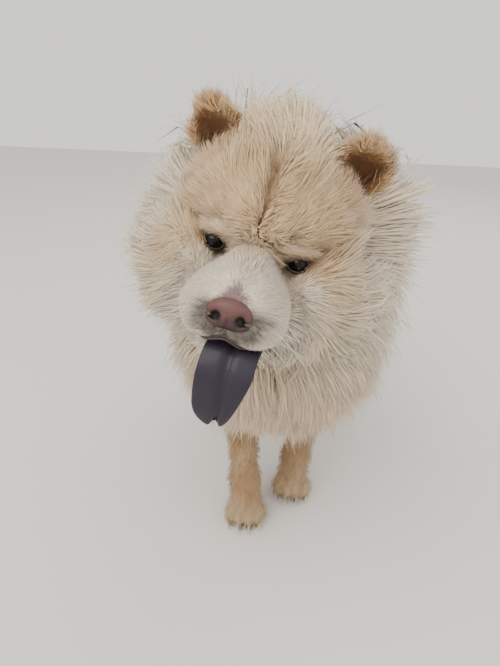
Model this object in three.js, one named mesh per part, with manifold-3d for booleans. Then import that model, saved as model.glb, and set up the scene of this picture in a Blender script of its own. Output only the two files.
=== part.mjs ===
// A life-size chow chow, standing, with its head lifted a little and tilted, and the tongue hanging out.
// Millimetres. +Z is up, the dog faces -Y, and its left side is +X. The origin is on the floor under the
// middle of the model. Each part of the body is a smooth blend of ellipsoids, closed by a shell. Where the
// coat is long, the blend is the core of the coat, and flat tapered locks grow out of it along its lie.
import * as THREE from "three";
import { mergeVertices } from "three/addons/utils/BufferGeometryUtils.js";
import Module from "manifold-3d";

const wasm = await Module();
wasm.setup();
const { Manifold, Mesh } = wasm;
const V = (x, y, z) => new THREE.Vector3(x, y, z);
const radians = THREE.MathUtils.degToRad;
const DOWN = V(0, 0, -1);
const BACK = V(0, 1, 0);

// Driving sizes of the body at the core of the coat
const WITHERS = 462;
const CHEST_WIDTH = 250;
const SPINE_Z = 338;
const RUMP_Y = 352;

// The head's own frame: its origin is midway between the eyes, with the face towards -Y
const HEAD_AT = V(-23, -180, 504);
const HEAD_YAW = -3.6;
const HEAD_NOSE_UP = 7.2;
const HEAD_ROLL = 11.6;
const EYE_SPACING = 86;
const EYE_RADIUS = 11;
const MUZZLE_WIDTH = 94;

// How far the tips of the locks stand off the core
const TIPS = { torso: 26, neck: 36, tail: 28, head: 14 };

// Gap between neighbouring nodes, and the level where each paw ends and its leg begins
const GAP = 0.3;
const PAW_TOP = 50;
const SOLE_LEVEL = 1.6;

// Colours and finishes of the materials
const FINISH = {
  cream: { color: 0xe9d5b4, roughness: 0.9, metalness: 0 },
  tan: { color: 0xb98c5c, roughness: 0.9, metalness: 0 },
  paw: { color: 0xcdb48f, roughness: 0.9, metalness: 0 },
  ear: { color: 0xc58f58, roughness: 0.9, metalness: 0 },
  nose: { color: 0x9c6660, roughness: 0.45, metalness: 0 },
  tongue: { color: 0x2f2c3b, roughness: 0.5, metalness: 0 },
  eye: { color: 0x0f0c0b, roughness: 0.1, metalness: 0 },
};

// A random number from 0 to 1, from a seed, so that each build is the same
function seeded(seed) {
  let state = seed;
  return () => {
    state = (state * 1664525 + 1013904223) % 4294967296;
    return state / 4294967296;
  };
}

// A closed mesh as a solid that faces outwards
function solid(geometry) {
  const bare = new THREE.BufferGeometry();
  bare.setAttribute("position", geometry.getAttribute("position"));
  if (geometry.index) bare.setIndex(geometry.index);
  const merged = mergeVertices(bare, 1e-3);
  const vertProperties = merged.attributes.position.array;
  const triVerts = new Uint32Array(merged.index.array);
  const made = new Manifold(new Mesh({ numProp: 3, vertProperties, triVerts }));
  if (made.volume() > 0) return made;
  for (let i = 0; i < triVerts.length; i += 3) {
    [triVerts[i + 1], triVerts[i + 2]] = [triVerts[i + 2], triVerts[i + 1]];
  }
  return new Manifold(new Mesh({ numProp: 3, vertProperties, triVerts }));
}

// The geometry of a solid's largest closed surface
function geometryOf(made) {
  const [largest] = made.decompose().sort((a, b) => b.volume() - a.volume());
  const mesh = largest.getMesh();
  const positions = new Float32Array(mesh.numVert * 3);
  for (let i = 0; i < mesh.numVert; i += 1) {
    const start = i * mesh.numProp;
    positions.set(mesh.vertProperties.subarray(start, start + 3), i * 3);
  }
  const geometry = new THREE.BufferGeometry();
  geometry.setAttribute("position", new THREE.BufferAttribute(positions, 3));
  geometry.setIndex(new THREE.BufferAttribute(mesh.triVerts, 1));
  geometry.computeVertexNormals();
  return geometry;
}

const fuse = (...solids) => Manifold.union(solids.flat(2));

// A solid from rings of points, each ring of the same count, closed by flat ends or by a tip
function loft(rings) {
  const sides = rings[0].length;
  const positions = rings.flat().flatMap((point) => point.toArray());
  const index = [];
  for (let i = 0; i < rings.length - 1; i += 1) {
    const [a, b] = [i * sides, (i + 1) * sides];
    const pointed = rings[i + 1].length === 1;
    for (let j = 0; j < sides; j += 1) {
      const next = (j + 1) % sides;
      if (pointed) index.push(a + j, a + next, b);
      else index.push(a + j, a + next, b + next, a + j, b + next, b + j);
    }
  }
  const last = (rings.length - 1) * sides;
  for (let j = 1; j < sides - 1; j += 1) {
    index.push(0, j + 1, j);
    if (rings.at(-1).length > 1) index.push(last, last + j, last + j + 1);
  }
  const geometry = new THREE.BufferGeometry();
  geometry.setAttribute("position", new THREE.BufferAttribute(new Float32Array(positions), 3));
  geometry.setIndex(index);
  return solid(geometry);
}

// A box of space on the side of a plane that its normal points to
const FAR = 2000;
function half(point, normal) {
  const space = new THREE.BoxGeometry(FAR, FAR, FAR);
  space.translate(0, 0, FAR / 2);
  space.applyQuaternion(new THREE.Quaternion().setFromUnitVectors(V(0, 0, 1), normal));
  space.translate(point.x, point.y, point.z);
  return solid(space);
}

// The frame of the head within the dog's
const headTurn = new THREE.Euler(radians(-HEAD_NOSE_UP), radians(HEAD_ROLL), radians(HEAD_YAW), "ZXY");
const headFrame = new THREE.Matrix4().makeRotationFromEuler(headTurn).setPosition(HEAD_AT);
const onHead = (x, y, z) => V(x, y, z).applyMatrix4(headFrame);
const headWay = (x, y, z) => V(x, y, z).transformDirection(headFrame);

// An ellipsoid of the body: its centre, half sizes and turn in degrees about X, Y and Z
function blob(centre, radii, turn = [0, 0, 0], within = new THREE.Matrix4()) {
  const local = new THREE.Matrix4().makeRotationFromEuler(new THREE.Euler(...turn.map(radians)));
  local.setPosition(...centre);
  return { inverse: local.premultiply(within).invert(), r: V(...radii) };
}

const headBlob = (centre, radii, turn) => blob(centre, radii, turn, headFrame);
const pair = (make) => [make(-1), make(1)];

// How far a point lies outside one ellipsoid, nearly
function outside(form, point) {
  const q = point.clone().applyMatrix4(form.inverse).divide(form.r);
  const near = q.length();
  const slope = q.divide(form.r).length();
  return slope > 1e-9 ? (near * (near - 1)) / slope : -Math.min(form.r.x, form.r.y, form.r.z);
}

// A field that is under 0 inside the blend of several ellipsoids
function blend(forms, softness) {
  return (point) => {
    const total = forms.reduce((sum, form) => sum + Math.exp(-outside(form, point) / softness), 0);
    return -softness * Math.log(total + 1e-30);
  };
}

// The outward direction of a field at a point
function outwardAt(field, point) {
  const step = 2;
  const slope = ["x", "y", "z"].map((axis) => {
    const [ahead, behind] = [point.clone(), point.clone()];
    ahead[axis] += step;
    behind[axis] -= step;
    return field(ahead) - field(behind);
  });
  return V(...slope).normalize();
}

// Distance along a ray to the outermost place where the field falls to a level
function reachOf(field, level, origin, direction) {
  const at = (r) => field(origin.clone().addScaledVector(direction, r)) - level;
  const longest = 330;
  const step = longest / 55;
  let high = longest;
  while (high > step && at(high - step) > 0) high -= step;
  let low = Math.max(high - step, 0);
  for (let i = 0; i < 13; i += 1) {
    const middle = (low + high) / 2;
    if (at(middle) > 0) high = middle;
    else low = middle;
  }
  return low;
}

// A ray that fans out of a spine: along is 0 at its start and 1 at its end, and round goes once about it
function rayFrom(spine, along, round) {
  const fan = Math.PI * along;
  const t = (1 - Math.cos(fan)) / 2;
  const tangent = spine.getTangent(t);
  const aside = V(1, 0, 0).addScaledVector(tangent, -tangent.x).normalize();
  const over = tangent.clone().cross(aside);
  const angle = 2 * Math.PI * round;
  const direction = tangent.multiplyScalar(-Math.cos(fan));
  direction.addScaledVector(aside, Math.sin(fan) * Math.cos(angle));
  direction.addScaledVector(over, Math.sin(fan) * Math.sin(angle));
  return { origin: spine.getPoint(t), direction: direction.normalize() };
}

// A closed shell at one level of a body's field
function shell(body, level = 0) {
  const { field, spine, rings, sides } = body;
  const positions = [];
  const index = [];
  for (let i = 0; i <= rings; i += 1) {
    const count = i === 0 || i === rings ? 1 : sides;
    for (let j = 0; j < count; j += 1) {
      const { origin, direction } = rayFrom(spine, i / rings, j / sides);
      origin.addScaledVector(direction, reachOf(field, level, origin, direction));
      positions.push(...origin.toArray());
    }
  }
  const ring = (i) => (i === 0 ? 0 : 1 + (i - 1) * sides);
  for (let j = 0; j < sides; j += 1) {
    const next = (j + 1) % sides;
    index.push(0, ring(1) + next, ring(1) + j);
    for (let i = 1; i < rings - 1; i += 1) {
      index.push(ring(i) + j, ring(i) + next, ring(i + 1) + next);
      index.push(ring(i) + j, ring(i + 1) + next, ring(i + 1) + j);
    }
    index.push(ring(rings - 1) + j, ring(rings - 1) + next, ring(rings));
  }
  const geometry = new THREE.BufferGeometry();
  geometry.setAttribute("position", new THREE.BufferAttribute(new Float32Array(positions), 3));
  geometry.setIndex(index);
  return solid(geometry);
}

// A body: its field, the spine its shell fans out of, and how finely the shell is divided
function bodyOf(forms, softness, spinePoints, rings, sides) {
  return { field: blend(forms, softness), spine: new THREE.CatmullRomCurve3(spinePoints), rings, sides };
}

// One flat, tapered lock that rises from inside the core and bends over along the coat's lie
const LOCK_STEPS = [0, 0.25, 0.55, 0.82];
const LOCK_WIDTHS = [0.66, 1, 0.86, 0.5];
// The knife edges of a lock move out this much more than its faces when it grows
const EDGE_GROWTH = 12;
const LOCK_RISES = [0, 0.36, 0.68, 0.9];

function lock(field, root, way, size, grow) {
  const { length, width, thickness, height, sway, cling } = size;
  const sink = 9;
  const up = outwardAt(field, root);
  const lie = way.clone().addScaledVector(up, -way.dot(up)).normalize();
  const side = lie.clone().cross(up);
  const centreAt = (t, rise) => {
    const place = root.clone().addScaledVector(lie, length * t).addScaledVector(side, sway * t * t);
    const wanted = -sink + (height + sink) * rise;
    const held = place.clone();
    for (let i = 0; i < 2; i += 1) {
      held.addScaledVector(outwardAt(field, held), wanted - field(held));
    }
    return place.addScaledVector(up, wanted).lerp(held, cling);
  };
  const tip = centreAt(1, 1);
  const rings = LOCK_STEPS.map((t, i) => {
    const centre = centreAt(t, LOCK_RISES[i]);
    const out = outwardAt(field, centre);
    const across = side.clone().addScaledVector(out, -side.dot(out)).normalize();
    const halfWidth = (width / 2) * LOCK_WIDTHS[i] + EDGE_GROWTH * grow;
    const halfThickness = (thickness / 2) * (1 - 0.45 * t) + grow;
    return [
      centre.clone().addScaledVector(across, -halfWidth).addScaledVector(out, -halfThickness),
      centre.clone().addScaledVector(across, halfWidth).addScaledVector(out, -halfThickness),
      centre.clone().addScaledVector(out, halfThickness),
    ];
  });
  const along = tip.clone().sub(rings.at(-1)[2]).normalize();
  return loft([...rings, [tip.addScaledVector(along, EDGE_GROWTH * grow)]]);
}

// Named sizes of locks, in millimetres: long on the mane, medium on the body, short on the face
const LOCK_SIZES = {
  mane: { length: 108, width: 70, thickness: 11, height: TIPS.neck },
  breast: { length: 100, width: 66, thickness: 11, height: TIPS.neck * 0.85 },
  ruff: { length: 92, width: 68, thickness: 11, height: 20 },
  body: { length: 124, width: 88, thickness: 10, height: TIPS.torso },
  skirt: { length: 92, width: 70, thickness: 10, height: TIPS.torso },
  plume: { length: 104, width: 58, thickness: 9, height: TIPS.tail },
  face: { length: 56, width: 48, thickness: 8, height: TIPS.head },
};

// Places on a body's surface in one ring round its spine, an even distance apart
function ringPlaces(body, along, spacing, start) {
  const steps = 60;
  const loop = Array.from({ length: steps + 1 }, (_, j) => {
    const { origin, direction } = rayFrom(body.spine, along, j / steps);
    return origin.addScaledVector(direction, reachOf(body.field, 0, origin, direction));
  });
  const lengths = loop.slice(1).map((place, j) => place.distanceTo(loop[j]));
  const total = lengths.reduce((sum, length) => sum + length, 0);
  const count = Math.max(Math.round(total / spacing), 3);
  return Array.from({ length: count }, (_, k) => {
    let left = (((k + start) / count) % 1) * total;
    let j = 0;
    while (j < steps - 1 && left > lengths[j]) {
      left -= lengths[j];
      j += 1;
    }
    return loop[j].clone().lerp(loop[j + 1], left / lengths[j]);
  });
}

// Rows of overlapping locks over a body, staggered, each a little different from the next
function locksOver(body, rows, wayAt, seed, grow) {
  const random = seeded(seed);
  const vary = (amount) => 1 + amount * (random() * 2 - 1);
  return rows.flatMap(({ along, kind, cling = 0.85 }, row) => {
    const named = LOCK_SIZES[kind];
    return ringPlaces(body, along, named.width * 0.88, row % 2 ? 0.5 : 0).flatMap((place, k) => {
      const size = {
        length: named.length * vary(0.14),
        width: named.width * vary(0.1),
        thickness: named.thickness,
        height: named.height * vary(0.08) * (k % 2 ? 0.86 : 1.06),
        sway: 14 * (random() - 0.5),
        cling,
      };
      const way = wayAt(place, outwardAt(body.field, place));
      return way ? [lock(body.field, place, way, size, grow)] : [];
    });
  });
}

// Torso: a deep, short body, level from the withers to the rump
const HALF_CHEST = CHEST_WIDTH / 2;
const torso = bodyOf(
  [
    blob([0, 5, SPINE_Z], [HALF_CHEST - 12, 118, WITHERS - SPINE_Z + 2]),
    blob([0, 130, SPINE_Z], [HALF_CHEST, 160, WITHERS - SPINE_Z]),
    blob([0, 240, SPINE_Z + 8], [HALF_CHEST - 10, 138, WITHERS - SPINE_Z - 12]),
    blob([0, RUMP_Y - 34, SPINE_Z + 10], [HALF_CHEST - 14, 100, WITHERS - SPINE_Z - 16]),
    ...pair((s) => blob([s * 66, 30, SPINE_Z - 30], [54, 78, 112], [-10, 0, 0])),
    ...pair((s) => blob([s * 66, RUMP_Y - 34, SPINE_Z - 44], [56, 84, 104], [10, 0, 0])),
  ],
  14,
  [V(0, -30, SPINE_Z), V(0, 150, SPINE_Z), V(0, RUMP_Y - 36, SPINE_Z + 4)],
  20,
  22,
);

// Neck and mane: a thick collar of coat round the back of the face, and a full breast below it
const neck = bodyOf(
  [
    blob([-14, -64, 474], [144, 50, 124], [-6, 10, 0]),
    blob([-4, -12, 440], [130, 84, 118]),
    blob([0, -56, 378], [124, 66, 100]),
    blob([0, -70, 322], [90, 54, 78]),
  ],
  12,
  [V(0, -50, 300), V(-2, -46, 380), V(-4, -40, 500)],
  18,
  22,
);

// Head: a broad flat skull, full cheeks, heavy brows and a short, wide, padded muzzle
const HALF_MUZZLE = MUZZLE_WIDTH / 2;
const head = bodyOf(
  [
    headBlob([0, 62, 44], [88, 84, 72]),
    headBlob([0, 20, 46], [64, 44, 44]),
    ...pair((s) => headBlob([s * 35, 8, 27], [29, 26, 19], [0, s * 14, 0])),
    ...pair((s) => headBlob([s * 66, 46, -26], [42, 56, 54])),
    ...pair((s) => headBlob([s * 38, 26, -52], [36, 46, 36])),
    headBlob([0, -34, -36], [HALF_MUZZLE + 1, 58, 32]),
    ...pair((s) => headBlob([s * 22, -58, -46], [29, 29, 27])),
    headBlob([0, -26, -16], [27, 52, 22]),
    headBlob([0, 80, -50], [70, 66, 56]),
  ],
  5,
  [onHead(0, -32, -38), onHead(0, 20, -10), onHead(0, 82, 8)],
  24,
  28,
);

// Lower jaw: a short, square chin under the muzzle
const jaw = bodyOf(
  [
    headBlob([0, -46, -86], [27, 28, 13]),
    headBlob([0, -10, -82], [34, 44, 20]),
    headBlob([0, 30, -80], [40, 44, 22]),
  ],
  5,
  [onHead(0, -44, -84), onHead(0, -4, -82), onHead(0, 30, -80)],
  8,
  12,
);

// Lower part of the mouth's opening, between the lips
const mouth = bodyOf(
  [headBlob([0, -48, -73], [31, 44, 8]), headBlob([0, -10, -72], [40, 40, 6])],
  4,
  [onHead(0, -50, -73), onHead(0, -20, -73)],
  6,
  12,
);

// Nose: a broad pad, with a nostril on each side and a groove down the middle
const nose = bodyOf(
  [
    headBlob([0, -83, -36.5], [17, 9, 12]),
    ...pair((s) => headBlob([s * 11, -81, -38.5], [11, 10, 11])),
    headBlob([0, -81, -47.5], [11, 9, 9]),
  ],
  3,
  [onHead(-3, -81, -39.5), onHead(3, -81, -39.5)],
  9,
  14,
);
const nostril = (side) =>
  bodyOf(
    [
      headBlob([side * 11.5, -92, -39.5], [4.2, 6, 4.6]),
      headBlob([side * 17, -87, -42.5], [5.5, 6, 2.4], [0, side * 20, 0]),
    ],
    1.5,
    [onHead(side * 11, -91, -39.5), onHead(side * 15, -88, -41.5)],
    4,
    6,
  );

// Round limbs: a chain of balls between two points, from one radius to another
function limb(from, to, startRadius, endRadius, count = 4) {
  return Array.from({ length: count }, (_, i) => {
    const t = i / (count - 1);
    const r = startRadius + (endRadius - startRadius) * t;
    return blob(from.clone().lerp(to, t).toArray(), [r, r, r * 1.25]);
  });
}

// Paws: small, round and cat-like, with four toes
const FORE_PAWS = { right: V(-37, -34, 0), left: V(37, 36, 0) };
const HIND_PAWS = { right: V(-62, 352, 0), left: V(62, 340, 0) };
const PAW_HALF_WIDTH = 35;
const TOES = [-0.63, -0.22, 0.22, 0.63];
const FOREARM_RADIUS = 25;

function pawForms(at, halfWidth) {
  return [
    blob([at.x, at.y + 8, 23], [halfWidth * 0.82, halfWidth, 23]),
    ...TOES.map((t) => {
      const centre = [at.x + t * halfWidth * 1.12, at.y - 20 + 15 * Math.abs(t), 15.5];
      return blob(centre, [10.5, 22, 15], [0, 0, -t * 18]);
    }),
  ];
}

// Claws: short blunt cones that show at the end of each toe
function claws(at, halfWidth, grow) {
  return TOES.map((t) => {
    const claw = new THREE.ConeGeometry(3 + grow, 15 + 2 * grow, 6);
    claw.rotateX(radians(112));
    claw.rotateZ(radians(-t * 18));
    claw.translate(at.x + t * halfWidth * 1.2, at.y - 43 + 16 * Math.abs(t), 9.5);
    return solid(claw);
  });
}

function foreleg(side, paw) {
  const elbow = V(side * 58, 40, 214);
  const wrist = V(paw.x + side * 4, paw.y + 10, 76);
  return bodyOf(
    [
      ...limb(V(side * 60, 34, 262), elbow, 38, 33, 2),
      ...limb(elbow, wrist, 30, FOREARM_RADIUS, 5),
      ...limb(wrist, V(paw.x, paw.y + 6, 38), FOREARM_RADIUS, FOREARM_RADIUS, 3),
      ...pawForms(paw, PAW_HALF_WIDTH),
    ],
    4,
    [V(paw.x, paw.y, 22), V(wrist.x, wrist.y, 80), elbow, V(side * 60, 34, 290)],
    15,
    12,
  );
}

function hindleg(side, paw) {
  const hip = V(side * 66, RUMP_Y - 34, 290);
  const stifle = V(side * 66, 300, 226);
  const hock = V(paw.x + side * 2, paw.y + 34, 112);
  return bodyOf(
    [
      ...limb(hip, stifle, 54, 44, 3),
      ...limb(stifle, hock, 42, 26, 4),
      ...limb(hock, V(paw.x, paw.y + 12, 40), 24, 25, 3),
      ...pawForms(paw, PAW_HALF_WIDTH - 2),
    ],
    4,
    [V(paw.x, paw.y, 22), V(hock.x, hock.y - 8, 90), V(side * 68, 330, 190), hip],
    15,
    12,
  );
}

// Tail: set high, carried forward over the back in a full plume
const tailPath = [V(4, 372, 420), V(10, 402, 478), V(14, 362, 520), V(14, 292, 528), V(8, 226, 512)];
const tailCurve = new THREE.CatmullRomCurve3(tailPath);
const tail = bodyOf(
  Array.from({ length: 9 }, (_, i) => {
    const t = i / 8;
    return blob(tailCurve.getPoint(t).toArray(), Array(3).fill(46 - 12 * t));
  }),
  6,
  tailPath,
  18,
  14,
);

// Ears: small, thick, rounded triangles, cupped to the front
const EAR = { width: 66, height: 68, thickness: 22, cup: 12 };
const EAR_BASE = V(69, 60, 88);
const EAR_TURN = [14, 16, 20];
const EAR_SUNK = 26;

function ear(side, grow) {
  const [lean, splay, turn] = EAR_TURN.map(radians);
  const frame = new THREE.Matrix4().makeRotationFromEuler(new THREE.Euler(lean, side * splay, side * turn));
  frame.setPosition(side * EAR_BASE.x, EAR_BASE.y, EAR_BASE.z);
  frame.premultiply(headFrame);
  const levels = [0, 0.22, 0.42, 0.6, 0.76, 0.9, 1];
  const sides = 14;
  const rings = levels.map((t) => {
    const z = -EAR_SUNK + (EAR.height + grow) * t - grow * (t === 0 ? 1 : 0);
    if (t === 1) return [V(0, -4, z).applyMatrix4(frame)];
    const halfWidth = (EAR.width / 2) * Math.sqrt(1 - Math.pow(t, 3.4)) + grow;
    const halfDepth = (EAR.thickness / 2) * Math.pow(1 - t * 0.62, 0.8) + grow;
    const cup = grow ? 0 : EAR.cup;
    const hollow = cup * Math.sin(Math.PI * Math.min(t + 0.1, 1)) * (1 - 0.3 * t);
    return Array.from({ length: sides }, (_, j) => {
      const a = (2 * Math.PI * j) / sides;
      const [x, front] = [Math.cos(a), Math.max(-Math.sin(a), 0)];
      const curl = -9 * x * x;
      const y = halfDepth * Math.sin(a) + hollow * Math.pow(front, 1.5) + curl - 4 * t * t;
      return V(halfWidth * x, y, z).applyMatrix4(frame);
    });
  });
  return loft(rings);
}

// A ball in the head's frame
function headBall(centre, radii, across = 12, down = 8) {
  const ball = new THREE.SphereGeometry(1, across, down);
  ball.scale(...radii);
  ball.translate(...centre);
  ball.applyMatrix4(headFrame);
  return solid(ball);
}

// The opening between the lids
function socket(side) {
  return headBall([(side * EYE_SPACING) / 2, -8, 0], [9.6, 14, 7.8]);
}

// Lids: an oval ring round the front of each eye
function lids(side) {
  const ring = new THREE.TorusGeometry(10.5, 4, 5, 14);
  ring.scale(1.16, 0.94, 1.15);
  ring.rotateX(Math.PI / 2);
  ring.rotateY(radians(side * 12));
  ring.rotateZ(radians(side * 16));
  ring.translate((side * EYE_SPACING) / 2, -0.5, 0);
  ring.applyMatrix4(headFrame);
  return solid(ring);
}

// Tongue: a flat strap that leaves the mouth, bends over the lip and hangs. It is furrowed down its middle,
// and its left edge slants in towards the tip
const TONGUE_WIDTH = 50;
const TONGUE_THICKNESS = 9;
const tonguePath = new THREE.CatmullRomCurve3([
  onHead(12, -18, -74),
  onHead(11, -50, -73),
  onHead(9, -74, -78),
  onHead(9, -85, -98),
  onHead(10, -85, -124),
  onHead(11, -80, -152),
]);

function tongue(grow) {
  const rings = 12;
  const sides = 12;
  const wide = headWay(1, 0, 0);
  const sections = Array.from({ length: rings + 1 }, (_, i) => {
    const t = i / rings;
    const tangent = tonguePath.getTangent(t);
    const aside = wide.clone().addScaledVector(tangent, -tangent.dot(wide)).normalize();
    const over = tangent.clone().cross(aside);
    const round = t > 0.78 ? Math.sqrt(Math.max(1 - Math.pow((t - 0.78) / 0.225, 2.6), 0.01)) : 1;
    const halfWidth = (TONGUE_WIDTH / 2) * (0.9 + 0.14 * Math.sin(Math.PI * t)) * round + grow;
    const end = i === 0 ? -grow : i === rings ? grow : 0;
    const centre = tonguePath.getPoint(t).addScaledVector(tangent, end);
    return Array.from({ length: sides }, (_, j) => {
      const a = (2 * Math.PI * j) / sides;
      const slant = Math.cos(a) > 0 ? 0.42 * THREE.MathUtils.smoothstep(t, 0.5, 0.98) : 0;
      const x = halfWidth * Math.cos(a) * (1 - slant);
      const top = Math.max(Math.sin(a), 0);
      const furrow = t > 0.2 ? 3 * top * Math.exp(-Math.pow(x / 6, 2)) : 0;
      const y = ((TONGUE_THICKNESS / 2) * Math.sqrt(round) + grow) * Math.sin(a) - furrow;
      return centre.clone().addScaledVector(aside, x).addScaledVector(over, y);
    });
  });
  return loft(sections);
}

// How the coat lies: back along the trunk, out from the face round the mane, down on breast and rump
const faceCentre = onHead(0, 10, -20);
function torsoLie(place) {
  if (neck.field(place) < 6 || tail.field(place) < 0) return null;
  const drop = Math.min(Math.max((SPINE_Z + 60 - place.z) / 120, 0), 1);
  const rump = Math.max((place.y - 250) / 120, 0);
  return BACK.clone().addScaledVector(DOWN, 0.25 + 0.75 * drop + rump);
}
function neckLie(place) {
  if (head.field(place) < 4 || torso.field(place) < -6) return null;
  if (place.y < -50 && place.z > 400) return null;
  const away = place.clone().sub(faceCentre);
  away.y = Math.max(away.y, 0) * 0.8;
  const drop = Math.min(Math.max((400 - place.z) / 120, 0), 1);
  return away.normalize().addScaledVector(DOWN, 0.3 + drop).addScaledVector(BACK, 0.5 * (1 - drop));
}
function headLie(place) {
  if (neck.field(place) < 2) return null;
  const away = place.clone().sub(faceCentre);
  return away.normalize().addScaledVector(BACK, 0.6).addScaledVector(DOWN, 0.2);
}
function tailLie(place) {
  if (torso.field(place) < 4) return null;
  const ahead = V(0, -1, 0.1);
  return place.y > 376 ? V(0.1, 0.3, 1) : ahead;
}

const TORSO_ROWS = [
  { along: 0.34, kind: "body" },
  { along: 0.46, kind: "body" },
  { along: 0.58, kind: "body" },
  { along: 0.7, kind: "body" },
  { along: 0.81, kind: "skirt" },
  { along: 0.92, kind: "skirt" },
];
const NECK_ROWS = [
  { along: 0.08, kind: "breast", cling: 0.4 },
  { along: 0.2, kind: "breast", cling: 0.5 },
  { along: 0.33, kind: "breast", cling: 0.6 },
  { along: 0.46, kind: "mane" },
  { along: 0.6, kind: "mane" },
  { along: 0.74, kind: "mane" },
  { along: 0.88, kind: "mane" },
];
const TAIL_ROWS = [
  { along: 0.28, kind: "plume" },
  { along: 0.5, kind: "plume", cling: 0.8 },
  { along: 0.78, kind: "plume", cling: 0.5 },
];
const HEAD_ROWS = [
  { along: 0.6, kind: "face" },
  { along: 0.76, kind: "face" },
];

// Whether a place on the head lies beyond the face, where its locks begin
const offFace = (place) => {
  const onFace = place.clone().applyMatrix4(headFrame.clone().invert());
  return onFace.y > 36 || Math.abs(onFace.x) > 74;
};

// The core of a long-coated body with its locks
function furry(body, rows, lie, seed, grow) {
  return fuse(shell(body, grow), locksOver(body, rows, lie, seed, grow));
}

// The ruff: rings of locks that stand out from the front of the mane, all round the face
const RUFF_CENTRE = V(-12, -34, 462);
const RUFF_RINGS = [
  { count: 17, ahead: 0.62, start: 0, back: 0.35 },
  { count: 17, ahead: 0.18, start: 0.5, back: 0.7 },
];
const RUFF_FROM = -55;
const RUFF_SWEEP = 290;

function ruff(grow) {
  const random = seeded(71);
  return RUFF_RINGS.flatMap(({ count, ahead, start, back }) =>
    Array.from({ length: count }, (_, k) => {
      const a = radians(RUFF_FROM + (RUFF_SWEEP * (k + start)) / (count - 0.5));
      const out = V(Math.cos(a), -ahead, Math.sin(a)).normalize();
      const root = RUFF_CENTRE.clone().addScaledVector(out, reachOf(neck.field, 0, RUFF_CENTRE, out));
      const named = LOCK_SIZES.ruff;
      const size = { ...named, length: named.length * (0.88 + 0.24 * random()), cling: 0.35 };
      size.sway = 16 * (random() - 0.5);
      return lock(neck.field, root, V(Math.cos(a), back, Math.sin(a) - 0.1), size, grow);
    }),
  );
}

const makers = {};
for (const [name, side] of [["right", -1], ["left", 1]]) {
  const at = (grow) => EYE_RADIUS + grow;
  makers["eye_" + name] = (g) => headBall([(side * EYE_SPACING) / 2, 8, 0], [at(g), at(g), at(g)]);
  makers["ear_" + name] = (g) => ear(side, g);
}
makers.nose = (g) => (g ? shell(nose, g) : shell(nose).subtract(fuse([-1, 1].map((s) => shell(nostril(s))))));
makers.tongue = tongue;
makers.jaw = (g) => shell(jaw, g);
makers.head = (g) => {
  const skull = shell(head, g).subtract(fuse(shell(mouth), pair(socket)));
  const locks = locksOver(head, HEAD_ROWS, (place) => (offFace(place) ? headLie(place) : null), 5, g);
  return fuse(skull, pair(lids), locks);
};
makers.neck = (g) => fuse(furry(neck, NECK_ROWS, neckLie, 11, g), ruff(g));
makers.torso = (g) => furry(torso, TORSO_ROWS, torsoLie, 23, g);
makers.tail = (g) => furry(tail, TAIL_ROWS, tailLie, 37, g);

// Each node gives way to the ones before it, by the gap
const nodes = {};
const taken = [];
for (const [name, make] of Object.entries(makers)) {
  nodes[name] = taken.length ? make(0).subtract(fuse(taken)) : make(0);
  taken.push(fuse(make(GAP), nodes[name]));
}

// Legs below the torso, each cut level into leg and paw, with a flat sole on the floor
const floor = half(V(0, 0, SOLE_LEVEL), V(0, 0, 1));
for (const [name, side] of [["right", -1], ["left", 1]]) {
  const legs = {
    fore: { body: foreleg(side, FORE_PAWS[name]), paw: FORE_PAWS[name], wide: PAW_HALF_WIDTH },
    hind: { body: hindleg(side, HIND_PAWS[name]), paw: HIND_PAWS[name], wide: PAW_HALF_WIDTH - 2 },
  };
  for (const [end, { body, paw, wide }] of Object.entries(legs)) {
    const whole = fuse(shell(body), claws(paw, wide, 0)).intersect(floor).subtract(fuse(taken));
    nodes[end + "leg_" + name] = whole.intersect(half(V(0, 0, PAW_TOP + GAP), V(0, 0, 1)));
    nodes[end + "paw_" + name] = whole.intersect(half(V(0, 0, PAW_TOP), V(0, 0, -1)));
  }
}

const finishOf = (name) => {
  const [kind] = name.split("_");
  if (FINISH[kind]) return FINISH[kind];
  if (kind.endsWith("paw")) return FINISH.paw;
  return kind.endsWith("leg") ? FINISH.tan : FINISH.cream;
};

const dog = new THREE.Group();
for (const [name, made] of Object.entries(nodes)) {
  const mesh = new THREE.Mesh(geometryOf(made), new THREE.MeshStandardMaterial(finishOf(name)));
  mesh.name = name;
  dog.add(mesh);
}

const box = new THREE.Box3().setFromObject(dog);
dog.position.set(-(box.min.x + box.max.x) / 2, -(box.min.y + box.max.y) / 2, -box.min.z);

export default dog;
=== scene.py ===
"""A standing chow chow with a full cream mane, its head tilted and its blue-black tongue out.

One skin covers the whole animal, and a coat of closed, tapered wisps grows out of it along its lie.
Sizes here are millimetres in the dog's own frame (-Y ahead, +X its left, +Z up) and turn into metres
when a mesh is made.
"""

import logging
import math
from collections.abc import Callable
from dataclasses import dataclass, field
from enum import Enum

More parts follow.
